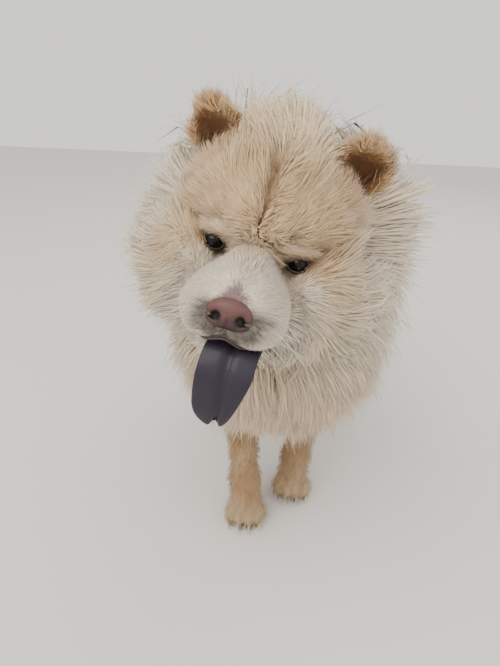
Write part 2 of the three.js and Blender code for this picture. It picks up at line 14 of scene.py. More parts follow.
import bpy
import numpy as np
from mathutils import Matrix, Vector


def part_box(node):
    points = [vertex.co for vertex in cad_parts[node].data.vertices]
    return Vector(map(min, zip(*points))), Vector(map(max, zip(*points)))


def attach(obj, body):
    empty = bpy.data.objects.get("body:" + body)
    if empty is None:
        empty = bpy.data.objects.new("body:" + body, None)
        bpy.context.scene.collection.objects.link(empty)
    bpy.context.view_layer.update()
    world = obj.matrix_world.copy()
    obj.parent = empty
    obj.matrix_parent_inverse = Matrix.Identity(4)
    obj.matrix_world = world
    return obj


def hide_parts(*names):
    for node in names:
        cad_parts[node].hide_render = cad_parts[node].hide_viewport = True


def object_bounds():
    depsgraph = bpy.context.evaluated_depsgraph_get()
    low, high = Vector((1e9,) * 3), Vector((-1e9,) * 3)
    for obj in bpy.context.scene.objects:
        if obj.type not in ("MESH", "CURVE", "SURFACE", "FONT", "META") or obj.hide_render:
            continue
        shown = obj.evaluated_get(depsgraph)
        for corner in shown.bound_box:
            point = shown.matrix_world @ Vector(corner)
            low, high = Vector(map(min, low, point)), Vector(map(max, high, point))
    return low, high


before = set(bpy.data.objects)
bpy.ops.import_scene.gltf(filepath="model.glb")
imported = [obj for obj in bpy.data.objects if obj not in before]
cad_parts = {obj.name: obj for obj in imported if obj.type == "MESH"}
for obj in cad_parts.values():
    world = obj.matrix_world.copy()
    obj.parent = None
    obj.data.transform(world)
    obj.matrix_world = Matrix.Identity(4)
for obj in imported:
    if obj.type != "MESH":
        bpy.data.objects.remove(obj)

CAD_BOX = [[float(v) for v in corner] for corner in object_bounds()]
LOG = logging.getLogger("chow")
MM = 0.001

# Driving sizes, shared with the solids
WITHERS = 462.0
CHEST_WIDTH = 250.0
SPINE_Z = 338.0
RUMP_Y = 352.0
EYE_SPACING = 86.0
EYE_RADIUS = 11.0
EYE_DEPTH = 8.0
MUZZLE_WIDTH = 94.0
SOLE_LEVEL = 1.6
HALF_CHEST = CHEST_WIDTH / 2.0
HALF_EYES = EYE_SPACING / 2.0
FORE_PAW_HALF = 35.0
HIND_PAW_HALF = 33.0

# How the fields are sampled: where rays start and how they step in, and how bodies blend
RAY_START = 330.0
RAY_STEP = 5.0
HALVINGS = 10
BATCH = 20000
BLEND = 8.0
JAW_BLEND = 2.0

# The attribute that carries the colours of skin and coat
TONES = "Coat"
UP = np.array([0.0, 0.0, 1.0])


def rotation(axis: str, degrees: float) -> np.ndarray:
    """A 3 by 3 turn about one axis."""
    return np.array(Matrix.Rotation(math.radians(degrees), 3, axis))


def unit(vectors: np.ndarray) -> np.ndarray:
    """Vectors scaled to length 1 along their last axis."""
    return vectors / (np.linalg.norm(vectors, axis=-1, keepdims=True) + 1e-9)


def smooth(low: float, high: float, value: np.ndarray) -> np.ndarray:
    """A smooth step: 3t² - 2t³ with t the value's place between low and high, held to 0..1."""
    t = np.clip((value - low) / (high - low), 0.0, 1.0)
    return t * t * (3.0 - 2.0 * t)


def bump_at(value: np.ndarray, centre: float, width: float) -> np.ndarray:
    """A bell: exp(-((value - centre) / width)²)."""
    return np.exp(-(((value - centre) / width) ** 2))


def patch_at(x: np.ndarray, z: np.ndarray, centre: tuple, size: tuple) -> np.ndarray:
    """A round bell over the face: exp(-((x - centre x) / width)² - ((z - centre z) / height)²)."""
    return np.exp(-(((x - centre[0]) / size[0]) ** 2 + ((z - centre[1]) / size[1]) ** 2))


def from_eye(x: np.ndarray, z: np.ndarray, wide: float, tall: float = 1.1) -> np.ndarray:
    """How far places lie from the nearer eye in the face's front view: √(((|x| - e) / wide)² + (tall z)²)."""
    return np.sqrt(((np.abs(x) - HALF_EYES) / wide) ** 2 + (z * tall) ** 2)


# The head's frame within the dog's: midway between the eyes, looking along -Y
HEAD_AT = np.array([-23.0, -180.0, 504.0])
HEAD_TURN = rotation("Z", -3.6) @ rotation("X", -7.2) @ rotation("Y", 11.6)


def on_head(points: np.ndarray) -> np.ndarray:
    """Points of the head's frame, placed in the dog's."""
    return np.asarray(points, dtype=float) @ HEAD_TURN.T + HEAD_AT


def in_head(points: np.ndarray) -> np.ndarray:
    """Points of the dog's frame, told in the head's."""
    return (np.asarray(points, dtype=float) - HEAD_AT) @ HEAD_TURN


def frame_shift() -> np.ndarray:
    """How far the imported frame's origin lies from the dog's own, read from the two eyes.

    Returns:
        The vector in millimetres that is added to a point of the dog's frame.
    """
    corners = [np.array(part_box(name), dtype=float) for name in ("eye_left", "eye_right")]
    middle = sum(pair.mean(axis=0) for pair in corners) / 2.0
    return middle / MM - on_head([0.0, EYE_DEPTH, 0.0])


SHIFT = frame_shift()


def ripple(points: np.ndarray, size: float, seed: int) -> np.ndarray:
    """Smooth irregular waves from about -1 to 1: a sum of five sines in random directions.

    Args:
        points: Places in millimetres, one per row.
        size: Wavelength in millimetres.
        seed: Picks the directions and phases.

    Returns:
        One value per point.
    """
    random = np.random.default_rng(seed)
    ways = unit(random.normal(size=(5, 3))) * (2 * np.pi / size) * random.uniform(0.6, 1.5, (5, 1))
    return np.sin(points @ ways.T + random.uniform(0, 6.28, 5)).sum(axis=1) / 2.6


@dataclass
class Flesh:
    """A blend of ellipsoids: a field that is under 0 inside it and grows by a millimetre per millimetre.

    Each row is a centre, the half sizes and a turn in degrees about X, Y and Z. Within one ellipsoid
    d = k0 (k0 - 1) / k1 with k0 = |q / r| and k1 = |q / r²|, and the blend is -s ln Σ exp(-d / s).
    """

    rows: list[tuple]
    softness: float
    spine: list[tuple]
    inset: float = 0.0
    head: bool = False
    rings: int = 40
    sides: int = 48

    def __post_init__(self) -> None:
        """Turns the rows into arrays."""
        turns, centres, radii = [], [], []
        for row in self.rows:
            turn = row[2] if len(row) > 2 else (0.0, 0.0, 0.0)
            local = rotation("X", turn[0]) @ rotation("Y", turn[1]) @ rotation("Z", turn[2])
            centre = np.array(row[0], dtype=float)
            turns.append(HEAD_TURN @ local if self.head else local)
            centres.append(on_head(centre) if self.head else centre)
            radii.append(row[1])
        self.turns = np.array(turns)
        self.centres = np.array(centres)
        self.radii = np.array(radii, dtype=float)
        self.line = np.array([on_head(p) if self.head else p for p in self.spine], dtype=float)

    def sample(self, points: np.ndarray) -> tuple[np.ndarray, np.ndarray]:
        """The field and its slope.

        Args:
            points: Places, one per row.

        Returns:
            The field's value at each place, measured from the skin's level, and its outward direction.
        """
        local = np.einsum("nmk,mkj->nmj", points[:, None, :] - self.centres[None], self.turns)
        q = local / self.radii
        near = np.linalg.norm(q, axis=2)
        q = q / self.radii
        steep = np.linalg.norm(q, axis=2) + 1e-9
        away = near * (near - 1.0) / steep
        weight = np.exp(-np.clip(away / self.softness, -60.0, 60.0))
        total = weight.sum(axis=1) + 1e-30
        ways = np.einsum("nmj,mkj->nmk", q / steep[:, :, None], self.turns)
        slope = (ways * weight[:, :, None]).sum(axis=1) / total[:, None]
        return -self.softness * np.log(total) + self.inset, unit(slope)

    def path(self, t: np.ndarray) -> np.ndarray:
        """The spine as a polyline read by arc length, t from 0 to 1."""
        lengths = np.linalg.norm(np.diff(self.line, axis=0), axis=1)
        stops = np.concatenate([[0.0], np.cumsum(lengths)]) / lengths.sum()
        return np.stack([np.interp(t, stops, self.line[:, k]) for k in range(3)], axis=-1)

    def shell(self) -> tuple[np.ndarray, np.ndarray]:
        """A closed surface on the skin's level.

        Rays fan out of the spine, from its start through a full turn to its end. Along each the outermost
        crossing is found by stepping in from outside and then halving the step.

        Returns:
            Points, and triangles that index them.
        """
        fan = np.linspace(0.0, np.pi, self.rings + 1)[1:-1]
        round_ = np.arange(self.sides) * 2 * np.pi / self.sides
        t = (1.0 - np.cos(fan)) / 2.0
        tangent = unit(self.path(np.minimum(t + 0.02, 1.0)) - self.path(np.maximum(t - 0.02, 0.0)))
        across = unit(np.array([1.0, 0.0, 0.0]) - tangent * tangent[:, :1])
        over = np.cross(tangent, across)
        ways = -np.cos(fan)[:, None, None] * tangent[:, None]
        ways = ways + np.sin(fan)[:, None, None] * (
            np.cos(round_)[None, :, None] * across[:, None] + np.sin(round_)[None, :, None] * over[:, None]
        )
        starts = np.broadcast_to(self.path(t)[:, None], ways.shape).reshape(-1, 3)
        ways = ways.reshape(-1, 3)
        ends = self.path(np.array([0.0, 1.0]))
        starts = np.concatenate([starts, ends])
        ways = unit(np.concatenate([ways, [-tangent[0], tangent[-1]]]))
        reach = np.full(len(ways), RAY_START)
        open_ = np.ones(len(ways), dtype=bool)
        for _ in range(int(RAY_START / RAY_STEP)):
            value, _slope = self.sample(starts + ways * (reach - RAY_STEP)[:, None])
            open_ &= (value > 0) & (reach > RAY_STEP)
            reach = np.where(open_, reach - RAY_STEP, reach)
        low, high = np.maximum(reach - RAY_STEP, 0.0), reach
        for _ in range(HALVINGS):
            middle = (low + high) / 2.0
            value, _slope = self.sample(starts + ways * middle[:, None])
            low, high = np.where(value > 0, low, middle), np.where(value > 0, middle, high)
        return starts + ways * low[:, None], capped(len(fan), self.sides)


def close_grid(grid: np.ndarray, first: int | None = None, last: int | None = None) -> np.ndarray:
    """Triangles over a grid of point numbers that wraps round along its second axis.

    Args:
        grid: Point numbers, rings by sides.
        first: The pole before the first ring, if any.
        last: The pole after the last ring, if any.

    Returns:
        Triangles, one per row.
    """
    a, b = grid[:-1], grid[1:]
    c, d = np.roll(b, -1, axis=1), np.roll(a, -1, axis=1)
    parts = [np.stack([a, d, c], -1).reshape(-1, 3), np.stack([a, c, b], -1).reshape(-1, 3)]
    if first is not None:
        ring = grid[0]
        parts.append(np.stack([np.full_like(ring, first), np.roll(ring, -1), ring], -1))
    if last is not None:
        ring = grid[-1]
        parts.append(np.stack([np.full_like(ring, last), ring, np.roll(ring, -1)], -1))
    return np.concatenate(parts)


def capped(rings: int, sides: int, flip: bool = False) -> np.ndarray:
    """Triangles of rings that are closed by two poles, whose numbers follow those of the rings.

    Args:
        rings: How many rings.
        sides: Points in a ring.
        flip: Whether the rings run the other way round.

    Returns:
        Triangles, one per row.
    """
    grid = np.arange(rings * sides).reshape(rings, sides)
    return close_grid(grid[:, ::-1] if flip else grid, rings * sides, rings * sides + 1)


def join(parts: list[tuple[np.ndarray, np.ndarray]]) -> tuple[np.ndarray, np.ndarray]:
    """Several surfaces as one.

    Args:
        parts: Points and triangles of each.

    Returns:
        All the points in a row, and the triangles with their numbers moved on to match.
    """
    starts = np.cumsum([0] + [len(points) for points, _ in parts[:-1]])
    triangles = [own + start for (_, own), start in zip(parts, starts)]
    return np.concatenate([points for points, _ in parts]), np.concatenate(triangles)


def hoops(line: np.ndarray, side: np.ndarray, over: np.ndarray, radius: np.ndarray, count: int) -> np.ndarray:
    """Rings round a line: line + radius (side cos b + over sin b), with b at count even steps of a turn.

    Args:
        line: Middles of the rings.
        side: A direction across the line at each.
        over: The direction square to both.
        radius: The radius at each.
        count: Points in a ring.

    Returns:
        Places, with one more axis than line, count long, before the last.
    """
    b = np.arange(count)[:, None] * 2 * np.pi / count
    ring = np.cos(b) * side[..., None, :] + np.sin(b) * over[..., None, :]
    return line[..., None, :] + radius[..., None, None] * ring


def both(make: Callable[[float], tuple]) -> list[tuple]:
    """The same ellipsoid on both sides."""
    return [make(-1.0), make(1.0)]


TORSO = Flesh(
    [
        ((0, 5, SPINE_Z), (HALF_CHEST - 12, 118, WITHERS - SPINE_Z + 2)),
        ((0, 130, SPINE_Z), (HALF_CHEST, 160, WITHERS - SPINE_Z)),
        ((0, 240, SPINE_Z + 8), (HALF_CHEST - 10, 138, WITHERS - SPINE_Z - 12)),
        ((0, RUMP_Y - 34, SPINE_Z + 10), (HALF_CHEST - 14, 100, WITHERS - SPINE_Z - 16)),
        *both(lambda s: ((s * 66, 30, SPINE_Z - 30), (54, 78, 112), (-10, 0, 0))),
        *both(lambda s: ((s * 66, RUMP_Y - 34, SPINE_Z - 44), (56, 84, 104), (10, 0, 0))),
    ],
    14,
    [(0, -30, SPINE_Z), (0, 150, SPINE_Z), (0, RUMP_Y - 36, SPINE_Z + 4)],
    inset=22,
)
NECK = Flesh(
    [
        ((-14, -64, 474), (144, 50, 124), (-6, 10, 0)),
        ((-4, -12, 440), (130, 84, 118)),
        ((0, -56, 378), (124, 66, 100)),
        ((0, -70, 322), (90, 54, 78)),
    ],
    12,
    [(0, -50, 300), (-2, -46, 380), (-4, -40, 500)],
    inset=34,
)
HEAD = Flesh(
    [
        ((0, 62, 44), (88, 84, 72)),
        ((0, 20, 46), (64, 44, 44)),
        *both(lambda s: ((s * 35, 8, 27), (29, 26, 19), (0, s * 14, 0))),
        *both(lambda s: ((s * 66, 46, -26), (42, 56, 54))),
        *both(lambda s: ((s * 38, 26, -52), (36, 46, 36))),
        ((0, -34, -36), (MUZZLE_WIDTH / 2 + 1, 58, 32)),
        *both(lambda s: ((s * 22, -58, -46), (29, 29, 27))),
        ((0, -26, -16), (27, 52, 22)),
        ((0, 80, -50), (70, 66, 56)),
    ],
    5,
    [(0, -32, -38), (0, 20, -10), (0, 82, 8)],
    inset=4,
    head=True,
    rings=70,
    sides=72,
)
JAW = Flesh(
    [
        ((0, -46, -86), (27, 28, 13)),
        ((0, -10, -82), (34, 44, 20)),
        ((0, 30, -80), (40, 44, 22)),
    ],
    5,
    [(0, -44, -84), (0, -4, -82), (0, 30, -80)],
    inset=2,
    head=True,
)

# Paws, legs and tail
FORE_PAWS = {-1: (-37.0, -34.0), 1: (37.0, 36.0)}
HIND_PAWS = {-1: (-62.0, 352.0), 1: (62.0, 340.0)}
TOES = (-0.63, -0.22, 0.22, 0.63)
TAIL_PATH = [(4, 372, 420), (10, 402, 478), (14, 362, 520), (14, 292, 528), (8, 226, 512)]


def limb(start: tuple, end: tuple, start_radius: float, end_radius: float, count: int) -> list[tuple]:
    """A chain of balls between two places, from one radius to another.

    Args:
        start: Where the first ball lies.
        end: Where the last one lies.
        start_radius: The first one's radius.
        end_radius: The last one's.
        count: How many balls.

    Returns:
        A row for each, drawn out upwards by a quarter.
    """
    t = np.linspace(0.0, 1.0, count)
    places = np.outer(1 - t, start) + np.outer(t, end)
    radii = start_radius + (end_radius - start_radius) * t
    return [(tuple(p), (r, r, r * 1.25)) for p, r in zip(places, radii)]


def paw_rows(at: tuple[float, float], half: float) -> list[tuple]:
    """The ellipsoids of one round paw: its body and four toes.

    Args:
        at: Its middle on the floor, X and Y.
        half: Half its length.

    Returns:
        A row for each ellipsoid.
    """
    toes = [
        ((at[0] + t * half * 1.12, at[1] - 20 + 15 * abs(t), 15.5), (10.5, 22, 15), (0, 0, -t * 18))
        for t in TOES
    ]
    return [((at[0], at[1] + 8, 23), (half * 0.82, half, 23)), *toes]


def foreleg(side: int) -> Flesh:
    """A straight, heavy-boned foreleg and its paw.

    Args:
        side: -1 for the dog's right, 1 for its left.

    Returns:
        Its flesh.
    """
    paw = FORE_PAWS[side]
    elbow, wrist = (side * 58, 40, 214), (paw[0] + side * 4, paw[1] + 10, 76)
    rows = limb((side * 60, 34, 262), elbow, 38, 33, 2) + limb(elbow, wrist, 30, 25, 5)
    rows += limb(wrist, (paw[0], paw[1] + 6, 38), 25, 25, 3) + paw_rows(paw, FORE_PAW_HALF)
    spine = [(paw[0], paw[1], 22), (wrist[0], wrist[1], 80), elbow, (side * 60, 34, 290)]
    return Flesh(rows, 4, spine, inset=4, rings=60, sides=40)


def hindleg(side: int) -> Flesh:
    """A hind leg with a nearly straight hock, and its paw.

    Args:
        side: -1 for the dog's right, 1 for its left.

    Returns:
        Its flesh.
    """
    paw = HIND_PAWS[side]
    hip, stifle = (side * 66, RUMP_Y - 34, 290), (side * 66, 300, 226)
    hock = (paw[0] + side * 2, paw[1] + 34, 112)
    rows = limb(hip, stifle, 54, 44, 3) + limb(stifle, hock, 42, 26, 4)
    rows += limb(hock, (paw[0], paw[1] + 12, 40), 24, 25, 3) + paw_rows(paw, HIND_PAW_HALF)
    spine = [(paw[0], paw[1], 22), (hock[0], hock[1] - 8, 90), (side * 68, 330, 190), hip]
    return Flesh(rows, 4, spine, inset=4, rings=60, sides=40)


def curve_through(stops: list[tuple], count: int) -> np.ndarray:
    """Places along a smooth curve through stops, by the centripetal blend of neighbouring parabolas.

    Args:
        stops: The places it passes.
        count: How many places to give.

    Returns:
        Places, one per row: at each t the Catmull-Rom cubic of the four nearest stops.
    """
    p = np.array(stops, dtype=float)
    p = np.concatenate([[2 * p[0] - p[1]], p, [2 * p[-1] - p[-2]]])
    t = np.linspace(0.0, len(stops) - 1 - 1e-6, count)
    k, u = t.astype(int), (t % 1.0)[:, None]
    a, b, c, d = p[k], p[k + 1], p[k + 2], p[k + 3]
    return 0.5 * (2 * b + (c - a) * u + (2 * a - 5 * b + 4 * c - d) * u**2 + (3 * b - a - 3 * c + d) * u**3)


TAIL_LINE = curve_through(TAIL_PATH, 33)
TAIL = Flesh(
    [(tuple(TAIL_LINE[4 * i]), (46 - 1.5 * i,) * 3) for i in range(9)],
    6,
    [tuple(p) for p in TAIL_LINE[::4]],
    inset=22,
)
LEGS = {"foreleg": foreleg, "hindleg": hindleg}
BODIES: dict[str, Flesh] = {"torso": TORSO, "neck": NECK, "head": HEAD, "jaw": JAW, "tail": TAIL}
for _side, _name in ((-1, "right"), (1, "left")):
    for _kind, _make in LEGS.items():
        BODIES[f"{_kind}_{_name}"] = _make(_side)
NAMES = list(BODIES)


def sample_skin(points: np.ndarray) -> tuple[np.ndarray, np.ndarray, np.ndarray]:
    """The whole animal's skin as one field.

    The bodies blend as -s ln Σ exp(-d / s), with a smaller s for the jaw so that the mouth stays open.

    Args:
        points: Places, one per row.

    Returns:
        Value, outward direction, and each body's share at each place.
    """
    values, slopes, shares = [], [], []
    for start in range(0, len(points), BATCH):
        part = points[start : start + BATCH]
        pairs = [BODIES[name].sample(part) for name in NAMES]
        d = np.stack([value for value, _ in pairs], axis=1)
        ways = np.stack([way for _, way in pairs], axis=1)
        jaw = NAMES.index("jaw")
        near = np.exp(-np.clip(d / BLEND, -50, 50))
        near[:, jaw] = 0.0
        rest = -BLEND * np.log(near.sum(axis=1) + 1e-25)
        gap = (d[:, jaw] - rest) / JAW_BLEND
        lean = 1.0 / (1.0 + np.exp(np.clip(gap, -40, 40)))
        share = near / (near.sum(axis=1, keepdims=True) + 1e-25) * (1 - lean)[:, None]
        share[:, jaw] = lean
        values.append(np.minimum(rest, d[:, jaw]) - JAW_BLEND * np.log1p(np.exp(-np.abs(gap))))
        slopes.append(unit((ways * share[:, :, None]).sum(axis=1)))
        shares.append(share)
    return np.concatenate(values), np.concatenate(slopes), np.concatenate(shares)


# Creases of the face in its own front view, X and Z, on the dog's left; each has its half width in mm
CREASES = {
    "furrow": ([(0, 86), (0, 50), (0, 16)], 2.8),
    "brow": ([(13, 12), (30, 25), (54, 23), (72, 6)], 4.5),
    "cheek": ([(46, 70), (70, 46), (90, 18), (89, -12), (78, -40)], 6.0),
    "flew": ([(21, 4), (37, -14), (51, -36), (54, -60)], 4.5),
    "gape": ([(18, -72), (34, -71), (54, -63)], 3.4),
}


def crease(points: np.ndarray, *names: str) -> np.ndarray:
    """How deep in a crease of the face places lie: exp(-(d / w)²), d the distance from its line.

    Args:
        points: Places in the head's frame.
        names: Creases to read, or none for all.

    Returns:
        0 to 1 for each place.
    """
    flat = np.stack([np.abs(points[:, 0]), points[:, 2]], axis=1)
    deep = np.zeros(len(points))
    for name in names or CREASES:
        stops, width = CREASES[name]
        line = np.array(stops, dtype=float)
        for a, b in zip(line[:-1], line[1:]):
            t = np.clip(((flat - a) @ (b - a)) / ((b - a) @ (b - a)), 0.0, 1.0)
            gap = np.linalg.norm(flat - a - t[:, None] * (b - a), axis=1)
            deep = np.maximum(deep, np.exp(-((gap / width) ** 2)))
    return deep * smooth(100, 70, points[:, 1])


def linear(hex_code: str) -> tuple[float, float, float]:
    """An sRGB hex colour, turned linear."""
    values = [int(hex_code[i : i + 2], 16) / 255 for i in (1, 3, 5)]
    return tuple(v / 12.92 if v <= 0.04045 else ((v + 0.055) / 1.055) ** 2.4 for v in values)


def add_node(tree: bpy.types.NodeTree, kind: str, settings: dict | None = None, **links) -> bpy.types.Node:
    """Adds one node.

    Args:
        tree: The material's node tree.
        kind: The node's type name.
        settings: Values for the node's properties, or for its inputs by name.
        links: Sockets that feed its inputs, by name with _ for a space.

    Returns:
        The new node.
    """
    node = tree.nodes.new(kind)
    for key, value in (settings or {}).items():
        if hasattr(node, key):
            setattr(node, key, value)
        else:
            node.inputs[key].default_value = value
    for key, socket in links.items():
        tree.links.new(socket, node.inputs[key.replace("_", " ")])
    return node


@dataclass(frozen=True)
class Finish:
    """A surface finish on a Principled shader: what it is, its colour, gloss and the relief of its grain.

    Its colour is mixed of colour and tint by the grain's noise, or it is read from an attribute.
    """

    name: str
    colour: str | None
    rough: float
    grain_mm: float
    relief: float
    grain_depth_mm: float = 0.3
    tint: str | None = None
    attribute: str | None = None
    spread: float = 0.12
    coat: float = 0.0
    sheen: float = 0.0
    specular: float = 0.5
    through: float = 0.0
    through_mm: float = 8.0

    def make(self) -> bpy.types.Material:
        """Builds the material: colour from an attribute or two tones mixed by noise, and a noise relief.

        Returns:
            The material.
        """
        material = bpy.data.materials.new(self.name)
        material.use_nodes = True
        tree = material.node_tree
        shader = tree.nodes["Principled BSDF"]
        place = add_node(tree, "ShaderNodeTexCoord")
        noise = add_node(
            tree,
            "ShaderNodeTexNoise",
            {"Scale": 1.0 / (self.grain_mm * MM), "Detail": 4.0, "Roughness": 0.6},
            Vector=place.outputs["Object"],
        )
        if self.attribute:
            base = add_node(tree, "ShaderNodeAttribute", {"attribute_name": self.attribute}).outputs["Color"]
        else:
            mix = add_node(tree, "ShaderNodeMix", {"data_type": "RGBA"})
            mix.inputs[6].default_value = (*linear(self.colour), 1.0)
            mix.inputs[7].default_value = (*linear(self.tint or self.colour), 1.0)
            tree.links.new(noise.outputs["Fac"], mix.inputs[0])
            base = mix.outputs[2]
        spread = add_node(
            tree,
            "ShaderNodeMapRange",
            {"From Min": 0.3, "From Max": 0.7, "To Min": 1 - self.spread, "To Max": 1 + self.spread},
            Value=noise.outputs["Fac"],
        )
        vary = add_node(tree, "ShaderNodeHueSaturation", Color=base, Value=spread.outputs["Result"])
        tree.links.new(vary.outputs["Color"], shader.inputs["Base Color"])
        relief = add_node(
            tree,
            "ShaderNodeBump",
            {"Strength": self.relief, "Distance": self.grain_depth_mm * MM},
            Height=noise.outputs["Fac"],
        )
        tree.links.new(relief.outputs["Normal"], shader.inputs["Normal"])
        settings = {
            "Roughness": self.rough,
            "Coat Weight": self.coat,
            "Coat Roughness": 0.12,
            "Sheen Weight": self.sheen,
            "Sheen Roughness": 0.4,
            "Specular IOR Level": self.specular,
            "Subsurface Weight": self.through,
            "Subsurface Radius": (1.0, 0.92, 0.85),
            "Subsurface Scale": self.through_mm * MM,
        }
        for socket, value in settings.items():
            shader.inputs[socket].default_value = value
        return material


class Finishes:
    """The animal's finishes, each made once. Hair is keratin: matt, with a faint sheen at grazing angles."""

    def __init__(self) -> None:
        """Makes every material."""
        self.hair = Finish(
            "keratin_hair", None, 0.62, 6, 0.0,
            attribute=TONES, sheen=0.25, spread=0.06, specular=0.2, through=0.25,
        ).make()
        self.skin = Finish(
            "haired_skin", None, 0.8, 1.6, 0.7, 0.5, attribute=TONES, sheen=0.15, specular=0.2
        ).make()
        # Nose leather: pebbled in cells near 1 mm, damp
        self.nose = Finish(
            "nose_leather", None, 0.5, 1.1, 1.0, 0.4, attribute=TONES, coat=0.08, spread=0.1, specular=0.35
        ).make()
        # Tongue: moist mucosa under fine papillae, which are near 0.7 mm and are drawn at 1 mm
        self.tongue = Finish(
            "tongue_mucosa", "#251c2d", 0.5, 1.0, 1.0, 0.35, tint="#18121e", coat=0.12, specular=0.35
        ).make()
        # Lips and lids: dark bare skin, a little moist, with a fine grain
        self.lip = Finish("lip_skin", "#2c2223", 0.5, 1.4, 0.5, 0.3, tint="#3d2f2f", coat=0.1).make()
        self.lid = Finish("lid_skin", "#1d1512", 0.55, 1.2, 0.5, 0.2, tint="#2c201b", coat=0.05).make()
        # Eyes: nearly black irises under a wet, clear cornea, which gives the small sharp light
        self.eye = Finish(
            "eyeball_wet", "#080504", 0.09, 3.0, 0.0, tint="#120a07", coat=0.12, specular=0.2
        ).make()
        # Claws: horn, smooth and slightly glossy, in streaks
        self.claw = Finish("claw_horn", "#cdbba2", 0.35, 1.5, 0.3, 0.2, tint="#a58f78", coat=0.1).make()
        self.whisker = Finish("whisker_keratin", "#e8e2d6", 0.4, 3.0, 0.0).make()
        self.floor = Finish("pale_floor", "#d9d6d1", 0.9, 400.0, 0.0, spread=0.0).make()


def to_frame(points: np.ndarray) -> np.ndarray:
    """Dog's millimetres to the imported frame's metres."""
    return (points + SHIFT) * MM


def points_of(mesh: bpy.types.Mesh, what: str = "co") -> np.ndarray:
    """Reads a vector of each point of a mesh.

    Args:
        mesh: The mesh.
        what: "co" for the places in metres, "normal" for the normals.

    Returns:
        Vectors, one per row.
    """
    values = np.empty(len(mesh.vertices) * 3, dtype=np.float32)
    mesh.vertices.foreach_get(what, values)
    return values.reshape(-1, 3).astype(float)


def put_mesh(
    name: str,
    points: np.ndarray,
    triangles: np.ndarray,
    material: bpy.types.Material,
    colours: np.ndarray | None = None,
    uv: np.ndarray | None = None,
    normals: np.ndarray | None = None,
) -> bpy.types.Object:
    """Makes an object from arrays.

    Args:
        name: Its name.
        points: Places in the dog's millimetres.
        triangles: Point numbers, three to a row.
        material: Its material.
        colours: A linear colour per point, where its finish reads them.
        uv: A place per point on the map OFBake.
        normals: A direction per point that its shading takes, where that isn't the surface's own.

    Returns:
        The object, at the origin, shaded smooth.
    """
    mesh = bpy.data.meshes.new(name)
    mesh.vertices.add(len(points))
    mesh.vertices.foreach_set("co", to_frame(points).astype(np.float32).ravel())
    mesh.loops.add(triangles.size)
    mesh.loops.foreach_set("vertex_index", triangles.astype(np.int32).ravel())
    mesh.polygons.add(len(triangles))
    mesh.polygons.foreach_set("loop_start", np.arange(0, triangles.size, 3, dtype=np.int32))
    mesh.update(calc_edges=True)
    mesh.polygons.foreach_set("use_smooth", np.ones(len(triangles), dtype=bool))
    dress(mesh, colours)
    if uv is not None:
        layer = mesh.uv_layers.new(name="OFBake")
        layer.data.foreach_set("uv", uv[triangles.ravel()].astype(np.float32).ravel())
    if normals is not None:
        mesh.normals_split_custom_set_from_vertices(normals)
    mesh.materials.append(material)
    piece = bpy.data.objects.new(name, mesh)
    bpy.context.collection.objects.link(piece)
    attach(piece, "root")
    return piece


def dress(mesh: bpy.types.Mesh, colours: np.ndarray | None) -> None:
    """Writes colours into the attribute that the finishes of skin, coat and nose read.

    Args:
        mesh: The mesh.
        colours: A linear colour per point, or None where the finish has its own.
    """
    if colours is None:
        return
    coat = mesh.attributes.new(TONES, "FLOAT_COLOR", "POINT")
    full = np.concatenate([colours, np.ones((len(colours), 1))], axis=1)
    coat.data.foreach_set("color", full.astype(np.float32).ravel())


def report(piece: bpy.types.Object) -> None:
    """Logs one piece and its triangle count."""
    mesh = piece.data
    mesh.calc_loop_triangles()
    LOG.info("%s: %d triangles", piece.name, len(mesh.loop_triangles))


class Tone(Enum):
    """The coat's colours, as sRGB hex values."""

    CREAM = "#f2dcb6"
    IVORY = "#f6e5ce"
    TAN = "#d8ad78"
    LEG = "#ac855b"
    # UMBER is painted shade in the face's creases and round the eyes; it also darkens the wrists.
    UMBER = "#6e4a30"
    EAR = "#c99c62"
    # EAR_DARK is painted shade in the hollows of the ears' cups.
    EAR_DARK = "#6a452b"
    WHITE = "#efdfc8"
    GREY = "#4a4443"
    TOE = "#bda27f"
    BREAST = "#e0b58e"
    NOSE = "#5e3d39"
    # NOSE_DARK is painted shade on the nose pad's underside.
    NOSE_DARK = "#2a1b1c"
    # NOSTRIL is painted shade in the nostrils' hollows.
    NOSTRIL = "#0d0808"
    MAUVE = "#86706e"
    # GAPE is partly dark lip skin and partly painted shade at the mouth's corners.
    GAPE = "#241a1a"

    def rgb(self) -> np.ndarray:
        """The colour, linear."""
        return np.array(linear(self.value))


def mix(base: np.ndarray, tone: Tone, amount: np.ndarray) -> np.ndarray:
    """Blends a tone into colours by an amount per row."""
    a = np.clip(amount, 0.0, 1.0)[:, None]
    return base * (1 - a) + tone.rgb() * a


